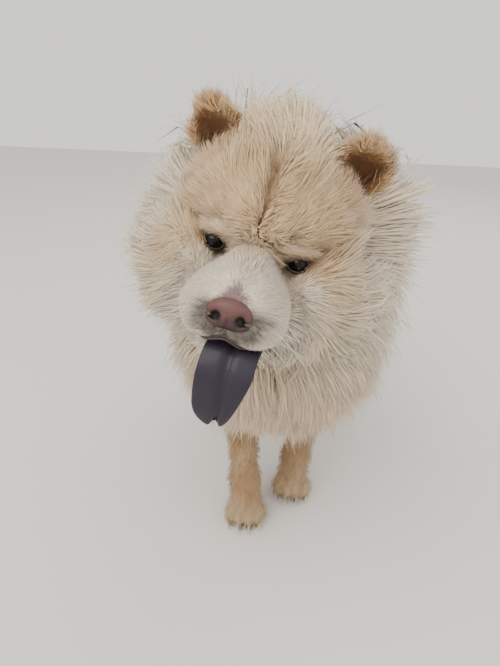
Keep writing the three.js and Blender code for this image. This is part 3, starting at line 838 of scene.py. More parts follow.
def markings(points: np.ndarray, share: np.ndarray) -> np.ndarray:
    """The coat's colour at places on the skin.

    Cream all over, ivory on the mane, tan on brow, crown, ears, legs and the backs of the cheeks, white
    on the muzzle with grey pigment round the nose and chin. Painted shade darkens the face's creases and
    the sockets round the eyes, a painted highlight lightens the brows, and the mouth's corners are near
    black, partly dark lip skin and partly painted shade.

    Args:
        points: Places in the dog's frame.
        share: Each body's share there.

    Returns:
        Linear colours, one per row.
    """
    head = share[:, NAMES.index("head")] + share[:, NAMES.index("jaw")]
    legs = sum(share[:, i] for i, name in enumerate(NAMES) if "leg" in name)
    neck, tail = share[:, NAMES.index("neck")], share[:, NAMES.index("tail")]
    local, height = in_head(points), points[:, 2]
    x, y, z = local.T
    colour = np.tile(Tone.CREAM.rgb(), (len(points), 1))
    back = smooth(380, 470, height) * smooth(-40, 60, points[:, 1]) * (1 - neck) * (1 - head)
    colour = mix(colour, Tone.TAN, 0.4 * back)
    colour = mix(colour, Tone.IVORY, 0.8 * neck + 0.6 * tail)
    warm = neck * smooth(470, 560, height) * smooth(-40, 60, points[:, 0])
    colour = mix(colour, Tone.TAN, 0.45 * warm)
    colour = mix(colour, Tone.BREAST, neck * smooth(420, 320, height) * smooth(20, -50, points[:, 1]) * 0.75)
    # Face: tan brow, crown, stop and rims of the eyes over cream, and a white muzzle
    face = head * smooth(100, 60, y)
    brow = face * smooth(12, 34, z) * smooth(104, 74, z) * smooth(96, 60, np.abs(x))
    crown = head * smooth(76, 104, z)
    rim = face * patch_at(np.abs(x), z, (46, -2), (26, 20))
    stop = face * bump_at(x, 0, 16) * bump_at(z, 12, 22)
    cheek = face * bump_at(np.abs(x), 70, 16) * smooth(-60, -10, z)
    tan = 1 - (1 - 0.7 * brow) * (1 - 0.3 * crown) * (1 - 0.8 * rim) * (1 - 0.5 * stop) * (1 - 0.4 * cheek)
    colour = mix(colour, Tone.TAN, tan)
    pale = face * smooth(84, 104, np.abs(x)) * smooth(60, 20, z)
    colour = mix(colour, Tone.IVORY, 0.6 * pale)
    # Painted highlight: a paler patch on top of each brow's bulge.
    lit = face * patch_at(np.abs(x), z, (26, 17), (14, 8))
    colour = mix(colour, Tone.IVORY, 0.3 * lit)
    flews = smooth(-8, -24, z) * smooth(76, 58, np.abs(x)) * smooth(24, 4, y)
    muzzle = head * np.maximum(smooth(-4, -22, y) * smooth(6, -8, z), 0.9 * flews)
    colour = mix(colour, Tone.WHITE, 0.95 * muzzle)
    # Painted shade: umber darkens the furrow, and more faintly the creases of the brows, cheeks and flews.
    colour = mix(colour, Tone.UMBER, face * crease(local, "furrow") * 0.6)
    colour = mix(colour, Tone.UMBER, face * crease(local, "brow", "cheek", "flew") * 0.25)
    # The mouth's corners go near black: partly dark lip skin, partly painted shade in the gape.
    colour = mix(colour, Tone.GAPE, face * crease(local, "gape") * smooth(30, 0, y) * 0.95)
    # Painted shade: umber darkens the sunken sockets round the eyes.
    socket = smooth(15, 9, from_eye(x, z, 1.3))
    colour = mix(colour, Tone.UMBER, face * socket * smooth(24, 10, y) * 0.8)
    # Pigment: mauve above the nose, grey speckles beside and below it, and one small spot
    speckle = 0.5 + 0.5 * ripple(points, 4.0, 3)
    mauve = head * smooth(18, 10, np.abs(x) + 0.9 * (z + 27)) * smooth(-44, -32, z)
    colour = mix(colour, Tone.MAUVE, mauve * smooth(-46, -56, y))
    beside = np.sqrt((x / 1.2) ** 2 + ((z + 45) / 1.05) ** 2)
    grey = head * smooth(31, 20, beside) * smooth(-54, -64, y) * smooth(-24, -36, z)
    colour = mix(colour, Tone.GREY, grey * (0.7 + 0.3 * speckle))
    spot = patch_at(x, z, (31, -37), (4.0, 3.2)) * smooth(-40, -50, y)
    colour = mix(colour, Tone.GREY, head * spot * 0.6)
    colour = mix(colour, Tone.LEG, legs * (0.85 + 0.12 * ripple(points, 40.0, 5)))
    wrist = legs * bump_at(height, 96, 34)
    colour = mix(colour, Tone.UMBER, 0.22 * wrist)
    colour = mix(colour, Tone.TOE, 0.85 * legs * smooth(62, 26, height))
    return colour * (1 + 0.05 * ripple(points, 60.0, 9) + 0.04 * ripple(points, 14.0, 11))[:, None]


@dataclass
class EarShape:
    """A small, thick, rounded triangular ear, cupped to the front, as the solids have it."""

    width: float = 66.0
    height: float = 63.0
    thickness: float = 22.0
    cup: float = 12.0
    base: tuple[float, float, float] = (69.0, 60.0, 88.0)
    turn: tuple[float, float, float] = (14.0, 16.0, 20.0)
    sunk: float = 26.0

    def masks(self, points: np.ndarray, normals: np.ndarray) -> tuple[np.ndarray, np.ndarray]:
        """How much each place belongs to an ear, and how much to the hollow of its cup.

        Args:
            points: Places on the skin.
            normals: Outward directions there.

        Returns:
            Both shares for each place, from 0 to 1.
        """
        eared, cup = np.zeros(len(points)), np.zeros(len(points))
        for side in (-1, 1):
            turn, _at = self.frame_of(side)
            x, y, z = self.seen_from(side, points)
            near = smooth(44, 36, np.abs(x)) * smooth(34, 24, np.abs(y))
            eared = np.maximum(eared, near * smooth(-10, 0, z) * smooth(60, 50, z))
            front = smooth(-0.2, -0.7, normals @ turn[:, 1]) * smooth(28, 18, np.abs(x))
            cup = np.maximum(cup, near * front * smooth(-14, -4, z) * smooth(34, 22, z))
        return eared, cup

    def frame_of(self, side: int) -> tuple[np.ndarray, np.ndarray]:
        """Where an ear stands.

        Args:
            side: -1 for the dog's right, 1 for its left.

        Returns:
            The ear's own axes as columns, and its place in the dog's frame.
        """
        lean, splay, swing = self.turn
        local = rotation("X", lean) @ rotation("Y", side * splay) @ rotation("Z", side * swing)
        base = np.array([side * self.base[0], self.base[1], self.base[2]])
        return HEAD_TURN @ local, on_head(base)

    def seen_from(self, side: int, points: np.ndarray) -> np.ndarray:
        """Places of the dog's frame in an ear's own axes, as rows of X, Y and Z."""
        turn, at = self.frame_of(side)
        return ((points - at) @ turn).T

    def surface(self, side: int, rings: int = 26, sides: int = 40) -> tuple[np.ndarray, np.ndarray]:
        """The ear's closed surface.

        At height t the ring is x = w cos a, y = d sin a + hollow max(-sin a, 0)^1.5 - 9 cos² a - 4 t², with
        w = W/2 √(1 - t^3.4), d = T/2 (1 - 0.62 t)^0.8 and hollow = cup sin(π(t + 0.1)) (1 - 0.3 t).

        Args:
            side: -1 for the dog's right, 1 for its left.
            rings: Rings from base to tip.
            sides: Points in a ring.

        Returns:
            Points, and triangles that index them.
        """
        t = 1.0 - (1.0 - np.linspace(0.0, 0.995, rings)) ** 1.25
        a = np.arange(sides) * 2 * np.pi / sides
        t, a = t[:, None], a[None, :]
        half = self.width / 2 * np.sqrt(np.maximum(1 - t**3.4, 1e-3))
        deep = self.thickness / 2 * (1 - t * 0.62) ** 0.8
        hollow = self.cup * np.sin(np.pi * np.minimum(t + 0.1, 1.0)) * (1 - 0.3 * t)
        front = np.maximum(-np.sin(a), 0.0)
        x = half * np.cos(a)
        y = deep * np.sin(a) * np.sqrt(np.maximum(1 - t**6, 0.0)) + hollow * front**1.5
        y = y - 9 * np.cos(a) ** 2 - 4 * t**2
        z = np.broadcast_to(-self.sunk + self.height * t, x.shape)
        local = np.stack([x, y, z], axis=-1).reshape(-1, 3)
        local = np.concatenate([local, [[0.0, 0.0, -self.sunk], [0.0, -4.0, self.height - self.sunk]]])
        turn, at = self.frame_of(side)
        return local @ turn.T + at, capped(rings, sides)


@dataclass
class Skin:
    """The whole animal's skin as one closed surface, with the folds of the face worked into it."""

    finishes: Finishes
    voxel_mm: float = 3.6
    settle_step: float = 6.0
    lip_hang: float = 5.0
    pad_sink: float = 13.0
    # Brows, cheeks and bags under the eyes: height, centre and half size in the face's front view
    bells: tuple = ((3.5, (38, 14), (20, 7)), (3.0, (74, 8), (9, 22)), (2.5, (46, -19), (18, 5)))
    ear: EarShape = field(default_factory=EarShape)

    def folds(self, points: np.ndarray) -> np.ndarray:
        """How far the skin rises (or sinks) over the plain flesh, in millimetres.

        Creases sink it; between them bells lift the brows, the bags under the eyes and the cheeks' folds.

        Args:
            points: Places on the plain flesh.

        Returns:
            The rise at each place.
        """
        local = in_head(points)
        x, y, z = local.T
        front = smooth(110, 60, y)
        rise = -6.5 * crease(local, "furrow") - 5.0 * crease(local, "brow", "cheek")
        rise -= 4.0 * crease(local, "flew", "gape")
        rise += 3.0 * bump_at(np.abs(x), 15, 7) * smooth(6, 26, z) * smooth(86, 60, z)
        for height, centre, size in self.bells:
            rise += height * patch_at(np.abs(x), z, centre, size)
        socket = from_eye(x, z, 1.35, 1.0)
        rise += -5.0 * bump_at(socket, 0, 9.0) * smooth(10, -5, y)
        rise += -2.5 * bump_at(x, 0, 2.2) * smooth(-50, -56, z) * smooth(-60, -74, y)
        # Behind the nose pad the skin sinks, so that it doesn't show in the nostrils
        pad = np.sqrt((x / 1.3) ** 2 + (z + 39) ** 2)
        rise -= self.pad_sink * smooth(14, 8, pad) * smooth(-60, -68, y)
        return rise * front

    def build(self) -> bpy.types.Object:
        """Joins the bodies' shells and the ears, remeshes them as one and lays them on the blended flesh.

        Returns:
            The skin.
        """
        parts = [flesh.shell() for flesh in BODIES.values()]
        parts += [self.ear.surface(side) for side in (-1, 1)]
        piece = put_mesh("skin", *join(parts), self.finishes.skin)
        remesh = piece.modifiers.new("whole", "REMESH")
        remesh.mode = "VOXEL"
        remesh.voxel_size = self.voxel_mm * MM
        self.apply(piece, "whole")
        mesh = piece.data
        place, kept = self.settle(points_of(mesh) / MM - SHIFT)
        _value, way, share = sample_skin(place)
        place = place + way * (self.folds(place) * (1 - kept))[:, None]
        # The flews hang a little over the mouth, and the soles lie flat
        x, y, z = in_head(place).T
        hang = smooth(-18, -44, y) * smooth(-46, -62, z) * smooth(-74, -70, z) * smooth(60, 48, np.abs(x))
        place = place - self.lip_hang * hang[:, None] * HEAD_TURN[:, 2]
        place[:, 2] = np.maximum(place[:, 2], SOLE_LEVEL + 0.6)
        mesh.vertices.foreach_set("co", to_frame(place).astype(np.float32).ravel())
        mesh.update()
        mesh.polygons.foreach_set("use_smooth", np.ones(len(mesh.polygons), dtype=bool))
        eared, cup = self.ear.masks(place, points_of(mesh, "normal"))
        # The hollow of each ear's cup is darkened with EAR_DARK: painted shade.
        colour = mix(mix(markings(place, share), Tone.EAR, eared), Tone.EAR_DARK, cup)
        dress(mesh, colour * 0.8)
        own = ("eye", "nose", "tongue")
        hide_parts(*[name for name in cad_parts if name.split("_")[0] not in own])
        report(piece)
        return piece

    def apply(self, piece: bpy.types.Object, name: str) -> None:
        """Applies a modifier."""
        with bpy.context.temp_override(object=piece, active_object=piece):
            bpy.ops.object.modifier_apply(modifier=name)

    def settle(self, place: np.ndarray) -> tuple[np.ndarray, np.ndarray]:
        """Moves points of the remeshed skin onto the blended flesh, apart from those of the ears.

        Args:
            place: Points of the remeshed skin.

        Returns:
            The settled points, and each point's share of ear.
        """
        kept = np.zeros(len(place))
        for side in (-1, 1):
            x, y, z = self.ear.seen_from(side, place)
            wide = smooth(46, 38, np.abs(x)) * smooth(34, 24, np.abs(y))
            kept = np.maximum(kept, wide * smooth(-4, 6, z) * smooth(60, 50, z))
        for _ in range(3):
            value, way, _share = sample_skin(place)
            step = np.clip(value, -self.settle_step, self.settle_step) * (1 - kept)
            place = place - way * step[:, None]
        return place, kept


@dataclass(frozen=True)
class Wisp:
    """One kind of wisp.

    How many, how long and wide, how far the tip stands off, how strongly wisps clump, the shares of the
    length at which a ring lies, how closely they follow the skin, how far they droop, how much they stray,
    how many share a leader, and which share of them is fine.
    """

    name: str
    count: int
    length: float
    width: float
    stand: float
    clump: float
    steps: tuple[float, ...]
    cling: float
    droop: float = 0.0
    wild: float = 0.2
    per_clump: int = 14
    fine: float = 0.35


@dataclass
class Coat:
    """The coat: closed, tapered wisps rooted in the skin, in pieces under 200,000 triangles each."""

    finishes: Finishes
    skin: bpy.types.Object
    ear: EarShape = field(default_factory=EarShape)
    long_steps: tuple[float, ...] = (0.0, 0.3, 0.66)
    short_steps: tuple[float, ...] = (0.0, 0.5)
    root_depth: float = 2.0
    leader_batch: int = 4000
    # How far tips may pass the solids' box: a share of its side, and millimetres
    past_share: float = 0.03
    past_mm: float = 8.0
    # Each wisp's patch on the bake map, whose side is 1
    patch: float = 0.003

    def __post_init__(self) -> None:
        """Reads the skin's triangles once."""
        mesh = self.skin.data
        mesh.calc_loop_triangles()
        corner = np.empty(len(mesh.loop_triangles) * 3, dtype=np.int32)
        mesh.loop_triangles.foreach_get("vertices", corner)
        place = points_of(mesh) / MM - SHIFT
        self.corners = place[corner.reshape(-1, 3)]
        cross = np.cross(self.corners[:, 1] - self.corners[:, 0], self.corners[:, 2] - self.corners[:, 0])
        self.areas = np.linalg.norm(cross, axis=1) / 2
        self.middles = self.corners.mean(axis=1)
        self.normals = unit(cross)
        _value, _way, self.shares = sample_skin(self.middles)
        self.local = in_head(self.middles)
        self.eared, self.cup = self.ear.masks(self.middles, self.normals)

    def share_of(self, *names: str) -> np.ndarray:
        """The summed share, at each skin triangle, of bodies whose names start with one of these."""
        return sum(self.shares[:, i] for i, name in enumerate(NAMES) if name.split("_")[0] in names)

    def bare(self) -> np.ndarray:
        """Where no hair grows: the eyes, the nose pad, the lips' inner side and the soles.

        Returns:
            1 there and 0 elsewhere, for each skin triangle.
        """
        x, y, z = self.local.T
        eyes = (from_eye(x, z, 1.25) < 9.5) & (y < 14)
        nose = (np.sqrt((x / 1.3) ** 2 + (z + 38) ** 2) < 14.5) & (y < -64)
        mouth = (np.abs(x) < 30) & (y < -20) & (z < -67) & (z > -76) & (y > -80)
        soles = self.middles[:, 2] < 4.0
        return (eyes | nose | mouth | soles).astype(float)

    def scatter(self, weight: np.ndarray, count: int, seed: int) -> tuple[np.ndarray, ...]:
        """Roots spread over the skin by area and weight.

        Args:
            weight: Density at each triangle.
            count: How many roots.
            seed: For the places within the triangles.

        Returns:
            Root places, outward directions and the numbers of their triangles.
        """
        random = np.random.default_rng(seed)
        mass = np.cumsum(self.areas * weight * (1 - self.bare()))
        pick = (np.arange(count) + random.random(count)) / count * mass[-1]
        index = np.minimum(np.searchsorted(mass, pick), len(mass) - 1)
        u, v = random.random(count), random.random(count)
        flip = u + v > 1
        u, v = np.where(flip, 1 - u, u), np.where(flip, 1 - v, v)
        a, b, c = self.corners[index].transpose(1, 0, 2)
        return a + (b - a) * u[:, None] + (c - a) * v[:, None], self.normals[index], index

    def lie(self, place: np.ndarray, index: np.ndarray) -> np.ndarray:
        """Which way the coat lies.

        Away from the nose over the head, out from the face round the mane, back along the trunk, down on the
        breast, flanks and legs, along the tail, and fanning out on the ears.

        Args:
            place: Roots.
            index: Their triangles.

        Returns:
            Unit directions, not yet laid along the skin.
        """
        share = self.shares[index]
        nose = on_head([0.0, -70.0, -30.0])
        face = on_head([0.0, 10.0, -20.0])
        away = unit(place - nose)
        away = away + np.array([0.0, 0.35, 0.0])
        local = in_head(place)
        x, _y, z = local.T
        # The furrow parts the hair, and the cheeks' hair turns out and down
        part = 0.7 * bump_at(np.abs(x), 5, 8) * smooth(10, 30, z) * smooth(100, 80, z)
        away = away + (np.sign(x) * part)[:, None] * HEAD_TURN[:, 0]
        cheek = smooth(40, 80, np.abs(x)) * smooth(20, -20, z)
        outward = np.sign(local[:, :1]) * HEAD_TURN[:, 0] * 0.6 + np.array([0, 0.1, -0.35])
        away = away + cheek[:, None] * outward
        ruff = place - face
        ruff[:, 1] = np.maximum(ruff[:, 1], 0.0) * 0.8
        drop = smooth(420, 300, place[:, 2])
        ruff = unit(ruff) + np.stack([0 * drop, 0.75 * (1 - drop), -0.2 - drop], axis=1)
        sink = smooth(SPINE_Z + 80, SPINE_Z - 40, place[:, 2])
        rump = np.maximum(place[:, 1] - 250, 0) / 120
        trunk = np.stack([0 * sink, np.ones_like(sink), -0.2 - 0.8 * sink - rump], axis=1)
        leg = np.stack([0 * sink, 0.12 + 0 * sink, -np.ones_like(sink)], axis=1)
        leg[:, 1] = np.where(place[:, 2] < 45, -0.9, leg[:, 1])
        near = np.argmin(np.linalg.norm(place[:, None] - TAIL_LINE[None, ::2], axis=2), axis=1) * 2
        ahead = unit(TAIL_LINE[np.minimum(near + 3, 32)] - TAIL_LINE[np.maximum(near - 3, 0)])
        side = unit(place - TAIL_LINE[near])
        plume = ahead + 0.45 * side + np.array([0, 0, -0.25])
        ways = {"torso": trunk, "neck": ruff, "head": away, "jaw": away, "tail": plume}
        total = sum(
            unit(ways.get(name.split("_")[0], leg)) * share[:, i, None] for i, name in enumerate(NAMES)
        )
        eared = self.eared[index, None]
        sideways = np.zeros(len(place))
        for side in (-1, 1):
            x, y, _z = self.ear.seen_from(side, place)
            sideways = np.where((np.abs(x) < 45) & (np.abs(y) < 40), x / 30, sideways)
        fan = HEAD_TURN[:, 2] + sideways[:, None] * HEAD_TURN[:, 0]
        return unit(unit(total) * (1 - eared) + eared * fan)

    def grow(self, wisp: Wisp, weight: np.ndarray, scale: np.ndarray, seed: int) -> None:
        """Grows one piece of coat.

        Wisps near a leader bend towards its axis by clump t^1.5, fine ones only a quarter as far.

        Args:
            wisp: Its kind.
            weight: Density over the skin.
            scale: Length and height at each skin triangle, as a share of the wisp's own.
            seed: For all that varies.
        """
        random = np.random.default_rng(seed)
        root, normal, index = self.scatter(weight, wisp.count, seed)
        way = self.lie(root, index)
        eddy = np.stack([ripple(root, 26.0 + wisp.length * 0.5, seed + k) for k in (1, 2, 3)], axis=1)
        way = unit(way + wisp.wild * eddy + 0.3 * wisp.wild * random.normal(size=way.shape))
        fine = random.random(len(root)) < wisp.fine
        size = scale[index] * random.uniform(0.78, 1.12, len(root))
        size = size * (1 + 0.12 * ripple(root, 30.0, seed + 7))
        long = wisp.length * size * np.where(fine, 1.1, 1.0)
        stand = wisp.stand * size * random.uniform(0.72, 1.12, len(root)) * np.where(fine, 1.1, 0.9)
        stops = np.array([*wisp.steps, 1.0])
        axis = self.axes(root, normal, way, long, stand, stops, wisp, self.eared[index, None])
        lead = random.choice(len(root), max(len(root) // wisp.per_clump, 1), replace=False)
        nearest = np.empty(len(root), dtype=int)
        for start in range(0, len(root), self.leader_batch):
            here = slice(start, start + self.leader_batch)
            gap = (root[here] ** 2).sum(1)[:, None] - 2 * root[here] @ root[lead].T
            nearest[here] = lead[np.argmin(gap + (root[lead] ** 2).sum(1)[None], axis=1)]
        pull = wisp.clump * stops**1.5
        spread = axis[nearest] + 0.3 * (root - root[nearest])[:, None, :]
        share = random.uniform(0.5, 1.0, (len(root), 1, 1)) * np.where(fine, 0.25, 1.0)[:, None, None]
        axis = axis + (spread - axis) * pull[None, :, None] * share
        axis = self.keep_in(root, axis)
        self.weave(wisp, root, normal, axis, index, size * np.where(fine, 0.36, 1.0), random)

    def keep_in(self, root: np.ndarray, axis: np.ndarray) -> np.ndarray:
        """Shortens the wisps whose tips would go too far past the solids' box.

        Args:
            root: Roots on the skin.
            axis: Middle lines, wisps by steps by 3.

        Returns:
            The middle lines, drawn in towards their roots where needed.
        """
        low, high = np.array(CAD_BOX) / MM - SHIFT
        room = self.past_share * (high - low) + self.past_mm
        tip = axis.max(axis=1), axis.min(axis=1)
        over = (high + room - root) / np.maximum(tip[0] - root, 1e-3)
        under = (root - low + room) / np.maximum(root - tip[1], 1e-3)
        share = np.clip(np.minimum(over, under).min(axis=1), 0.1, 1.0)
        return root[:, None] + (axis - root[:, None]) * share[:, None, None]

    def axes(
        self,
        root: np.ndarray,
        normal: np.ndarray,
        way: np.ndarray,
        long: np.ndarray,
        stand: np.ndarray,
        stops: np.ndarray,
        wisp: Wisp,
        eared: np.ndarray,
    ) -> np.ndarray:
        """The middle line of each wisp.

        It starts a little under the skin and steps along the lie, at a height that rises with the share t
        of the length as stand (1 - (1 - t)^1.6).

        Args:
            root: Roots on the skin.
            normal: Outward directions there.
            way: The lie.
            long: Lengths.
            stand: How far the tips stand off.
            stops: The share of the length at each step.
            wisp: The kind, for cling and droop.
            eared: 1 for those on an ear, in a column, which rise from the ear's own surface.

        Returns:
            Places, wisps by steps by 3.
        """
        flat = unit(way - normal * (way * normal).sum(1, keepdims=True))
        height = np.zeros(len(root))
        place = root - normal * self.root_depth
        lines = [place]
        _value, up, _share = sample_skin(root)
        up = unit(up * (1 - eared) + normal * eared)
        for before, now in zip(stops[:-1], stops[1:]):
            rise = stand * (1 - (1 - now) ** 1.6) - height
            height = height + rise
            stretch = long * (now - before)
            run = np.sqrt(np.maximum(stretch**2 - rise**2, (0.3 * stretch) ** 2))
            step = flat * run[:, None] + up * rise[:, None]
            step[:, 2] -= wisp.droop * stretch * now
            place = place + step
            value, slope, _share = sample_skin(place)
            place = place + slope * ((height - value) * wisp.cling)[:, None]
            fresh = unit(way - slope * (way * slope).sum(1, keepdims=True))
            flat = unit(flat * (1 - wisp.cling) + fresh * wisp.cling)
            up = unit(up * (1 - wisp.cling) + slope * wisp.cling)
            lines.append(place)
        return np.stack(lines, axis=1)

    def weave(
        self,
        wisp: Wisp,
        root: np.ndarray,
        normal: np.ndarray,
        axis: np.ndarray,
        index: np.ndarray,
        size: np.ndarray,
        random: np.random.Generator,
    ) -> None:
        """Turns middle lines into closed wisps, with colours and their patches on the bake map.

        A ring of three points goes round each step, flat across the lie, and the tip and a face at the root
        close the wisp. Its shading leans from the skin's outward direction to its own.

        Args:
            wisp: The kind.
            root: Roots on the skin.
            normal: Outward directions there.
            axis: Middle lines, wisps by steps by 3.
            index: The skin triangles of the roots.
            size: The width of each, as a share of the kind's.
            random: Gives the roll, width and tone of each.
        """
        count, steps = axis.shape[0], axis.shape[1] - 1
        along = unit(np.diff(axis, axis=1))
        roll = random.normal(0.0, 0.45, (count, 1))
        side = unit(np.cross(along, normal[:, None, :]))
        over = np.cross(side, along)
        side, over = (
            side * np.cos(roll)[..., None] + over * np.sin(roll)[..., None],
            over * np.cos(roll)[..., None] - side * np.sin(roll)[..., None],
        )
        stops = np.array(wisp.steps)
        taper = np.interp(stops, [0.0, 0.25, 0.6, 1.0], [0.7, 1.0, 0.8, 0.25])
        half = wisp.width / 2 * np.clip(size, 0.3, 1.3)[:, None] * taper[None]
        half = half * random.uniform(0.7, 1.3, (count, 1))
        mid = axis[:, :-1]
        ring = np.stack(
            [
                mid + side * half[..., None] - over * (0.16 * half)[..., None],
                mid - side * half[..., None] - over * (0.16 * half)[..., None],
                mid + over * (0.34 * half)[..., None],
            ],
            axis=2,
        ).reshape(count, steps * 3, 3)
        points = np.concatenate([ring, axis[:, -1:]], axis=1)
        points[..., 2] = np.maximum(points[..., 2], SOLE_LEVEL + 0.3)
        own = points - np.concatenate([np.repeat(mid, 3, axis=1), axis[:, -2:-1]], axis=1)
        lift = 0.5 - 0.35 * self.eared[index, None, None]
        soft = unit(lift * normal[:, None, :] + 0.6 * unit(own) + 0.15 * along[:, -1:])
        grid = np.arange(steps * 3).reshape(steps, 3)
        one = np.concatenate([close_grid(grid, None, steps * 3), [[0, 2, 1]]])
        per = steps * 3 + 1
        triangles = (one[None] + (np.arange(count) * per)[:, None, None]).reshape(-1, 3)
        tone = markings(root, self.shares[index])
        # The hollow of each ear's cup is darkened with EAR_DARK: painted shade.
        tone = mix(mix(tone, Tone.EAR, self.eared[index]), Tone.EAR_DARK, self.cup[index])
        tone = tone * random.uniform(0.93, 1.06, (count, 1))
        # Painted shade: each wisp is darker at its root and a little lighter towards its tip.
        light = np.append(np.interp(stops, [0, 1], [0.9, 1.03]).repeat(3), 1.04)
        colour = np.clip(tone[:, None, :] * light[None, :, None], 0.0, 0.92)
        t = np.append(stops.repeat(3), 1.0)
        turn = np.append(np.tile([-1.0, 1.0, 0.0], steps), 0.0)
        patch = self.patch * np.stack([-0.5 * turn, t - 0.5], axis=1)
        uv = self.unwrap(root)[:, None, :] + patch[None]
        piece = put_mesh(
            f"coat_{wisp.name}", points.reshape(-1, 3), triangles, self.finishes.hair,
            colour.reshape(-1, 3), uv.reshape(-1, 2), soft.reshape(-1, 3),
        )
        report(piece)

    def unwrap(self, root: np.ndarray) -> np.ndarray:
        """Each root's place on an unwrap of the skin, in its own tile of the bake map.

        Trunk, neck and tail are rolled open round a line along the body, u = angle / 2π and v = distance
        along. The head is opened from its nose, at angle about the head's axis and distance by angle from
        it. Each leg is rolled open round its own upright.

        Args:
            root: Roots on the skin.

        Returns:
            Places from 0 to 1.
        """
        _value, _way, share = sample_skin(root)
        most = np.argmax(share, axis=1)
        names = np.array([name.split("_")[0] for name in NAMES])[most]
        uv = np.zeros((len(root), 2))
        x, y, z = root.T
        angle = np.arctan2(x, z - SPINE_Z) / (2 * np.pi) + 0.5
        uv[:, 0] = 0.02 + 0.46 * angle
        uv[:, 1] = 0.02 + 0.44 * np.clip((y + 140) / 620, 0, 1)
        tail = names == "tail"
        near = np.argmin(np.linalg.norm(root[:, None] - TAIL_LINE[None, ::2], axis=2), axis=1)
        bend = np.arctan2(x - 10, z - TAIL_LINE[near * 2, 2]) / (2 * np.pi) + 0.5
        uv[tail, 0] = (0.52 + 0.22 * bend)[tail]
        uv[tail, 1] = (0.02 + 0.44 * near / 16)[tail]
        hx, hy, hz = in_head(root).T
        polar = np.arctan2(np.hypot(hx, hz + 20), 40 - hy) / np.pi
        turn = np.arctan2(hz + 20, hx)
        face = (names == "head") | (names == "jaw")
        uv[face, 0] = (0.26 + 0.23 * polar * np.cos(turn))[face]
        uv[face, 1] = (0.75 + 0.23 * polar * np.sin(turn))[face]
        for k, name in enumerate(n for n in NAMES if "leg" in n):
            here = most == NAMES.index(name)
            line = BODIES[name].line
            cx = np.interp(z, line[:, 2], line[:, 0])
            cy = np.interp(z, line[:, 2], line[:, 1])
            around = np.arctan2(x - cx, y - cy) / (2 * np.pi) + 0.5
            uv[here, 0] = (0.52 + 0.115 * k + 0.1 * around)[here]
            uv[here, 1] = (0.52 + 0.46 * np.clip(z / 320, 0, 1))[here]
        return uv

    def build(self) -> None:
        """Grows every piece of the coat."""
        x, y, z = self.local.T
        head, neck = self.share_of("head", "jaw"), self.share_of("neck")
        torso, tail = self.share_of("torso"), self.share_of("tail")
        legs = self.share_of("foreleg", "hindleg")
        off_ear = 1 - self.eared
        ones, low, left = np.ones(len(x)), self.middles[:, 2], self.middles[:, 0] > HEAD_AT[0]
        halves = tuple(enumerate((left, ~left)))
        long, short = self.long_steps, self.short_steps
        # Hair lengthens away from the eyes and muzzle until it runs into the mane
        muzzle = head * smooth(-8, -22, y) * smooth(6, -8, z) * smooth(60, 48, np.abs(x))
        out = np.hypot(x * 0.95, np.where(z > 10, z - 10, (z - 10) * 0.8))
        inner = head * off_ear * smooth(78, 56, out) * smooth(60, 46, y) * (1 - muzzle)
        fringe = head * off_ear * (1 - muzzle) * np.clip(smooth(52, 72, out) + smooth(40, 56, y), 0, 1)
        eyes = np.hypot(np.abs(x) - HALF_EYES, z)
        inner_scale = 0.5 + 0.5 * smooth(12, 34, eyes) + 0.6 * smooth(44, 74, out)
        dent = 1 - 0.6 * crease(self.local)
        by_ear = np.hypot(np.abs(x) - self.ear.base[0] + 4, z - self.ear.base[2])
        by_ear = np.hypot(by_ear, (y - 40) * 0.8)
        fringe_scale = 0.5 + 0.5 * smooth(60, 100, out)
        fringe_scale *= 1 - 0.62 * smooth(58, 26, by_ear) * smooth(72, 52, y)
        self.grow(
            Wisp("muzzle", 12000, 9, 1.0, 4.2, 0.35, short, 0.7, wild=0.35, per_clump=7),
            muzzle, 0.6 + 0.5 * smooth(16, 40, np.hypot(x, z + 38)), 101,
        )
        self.grow(
            Wisp("face", 15000, 20, 1.35, 10, 0.4, short, 0.7, wild=0.42, per_clump=8),
            inner, inner_scale * dent, 110,
        )
        for k, part in halves:
            self.grow(
                Wisp(f"fringe_{k}", 9000, 66, 2.3, 40, 0.4, long, 0.45, wild=0.5, per_clump=10, fine=0.5),
                fringe * part, fringe_scale * dent, 120 + k,
            )
        self.grow(
            Wisp("ears", 8500, 15, 1.2, 9, 0.35, short, 0.0, wild=0.45, per_clump=8),
            self.eared, (0.75 + 0.8 * (1 - self.cup)) * (1 - 0.45 * self.cup), 130,
        )
        # The mane stands highest over the dog's left side, and is shorter behind the crown
        collar = neck * off_ear
        round_neck = np.degrees(np.arctan2(low - 474, self.middles[:, 0] + 14))
        rear = smooth(-50, 10, self.middles[:, 1])
        behind = smooth(0, 60, self.middles[:, 1]) * smooth(530, 590, low)
        high = 0.5 * smooth(12, 36, round_neck) * smooth(130, 96, round_neck) * (1 - 0.5 * rear)
        high = 0.84 + high - 0.36 * behind
        dense = 0.7 + 1.3 * smooth(500, 570, low) + 0.7 * (1 - rear) * smooth(400, 470, low)
        dense = smooth(290, 350, low) * dense
        for k, part in halves:
            self.grow(
                Wisp(f"mane_{k}", 9500, 98, 3.0, 72, 0.42, long, 0.4, 0.1, 0.46, per_clump=12, fine=0.4),
                collar * part * dense, high, 140 + k,
            )
        self.grow(
            Wisp("breast", 8800, 82, 2.6, 48, 0.42, long, 0.4, droop=0.2, wild=0.5, fine=0.45),
            collar * smooth(400, 330, low), ones, 150,
        )
        for k, part in halves:
            self.grow(
                Wisp(f"trunk_{k}", 10000, 62, 3.6, 40, 0.5, short, 0.6, wild=0.38, per_clump=10),
                torso * part, ones, 160 + k,
            )
        self.grow(Wisp("tail", 4800, 86, 3.0, 46, 0.5, long, 0.4, wild=0.35), tail, ones, 170)
        self.grow(
            Wisp("legs", 11500, 20, 1.9, 9.5, 0.5, short, 0.6, wild=0.45, per_clump=8),
            legs, 0.7 + 0.6 * smooth(100, 200, low), 180,
        )


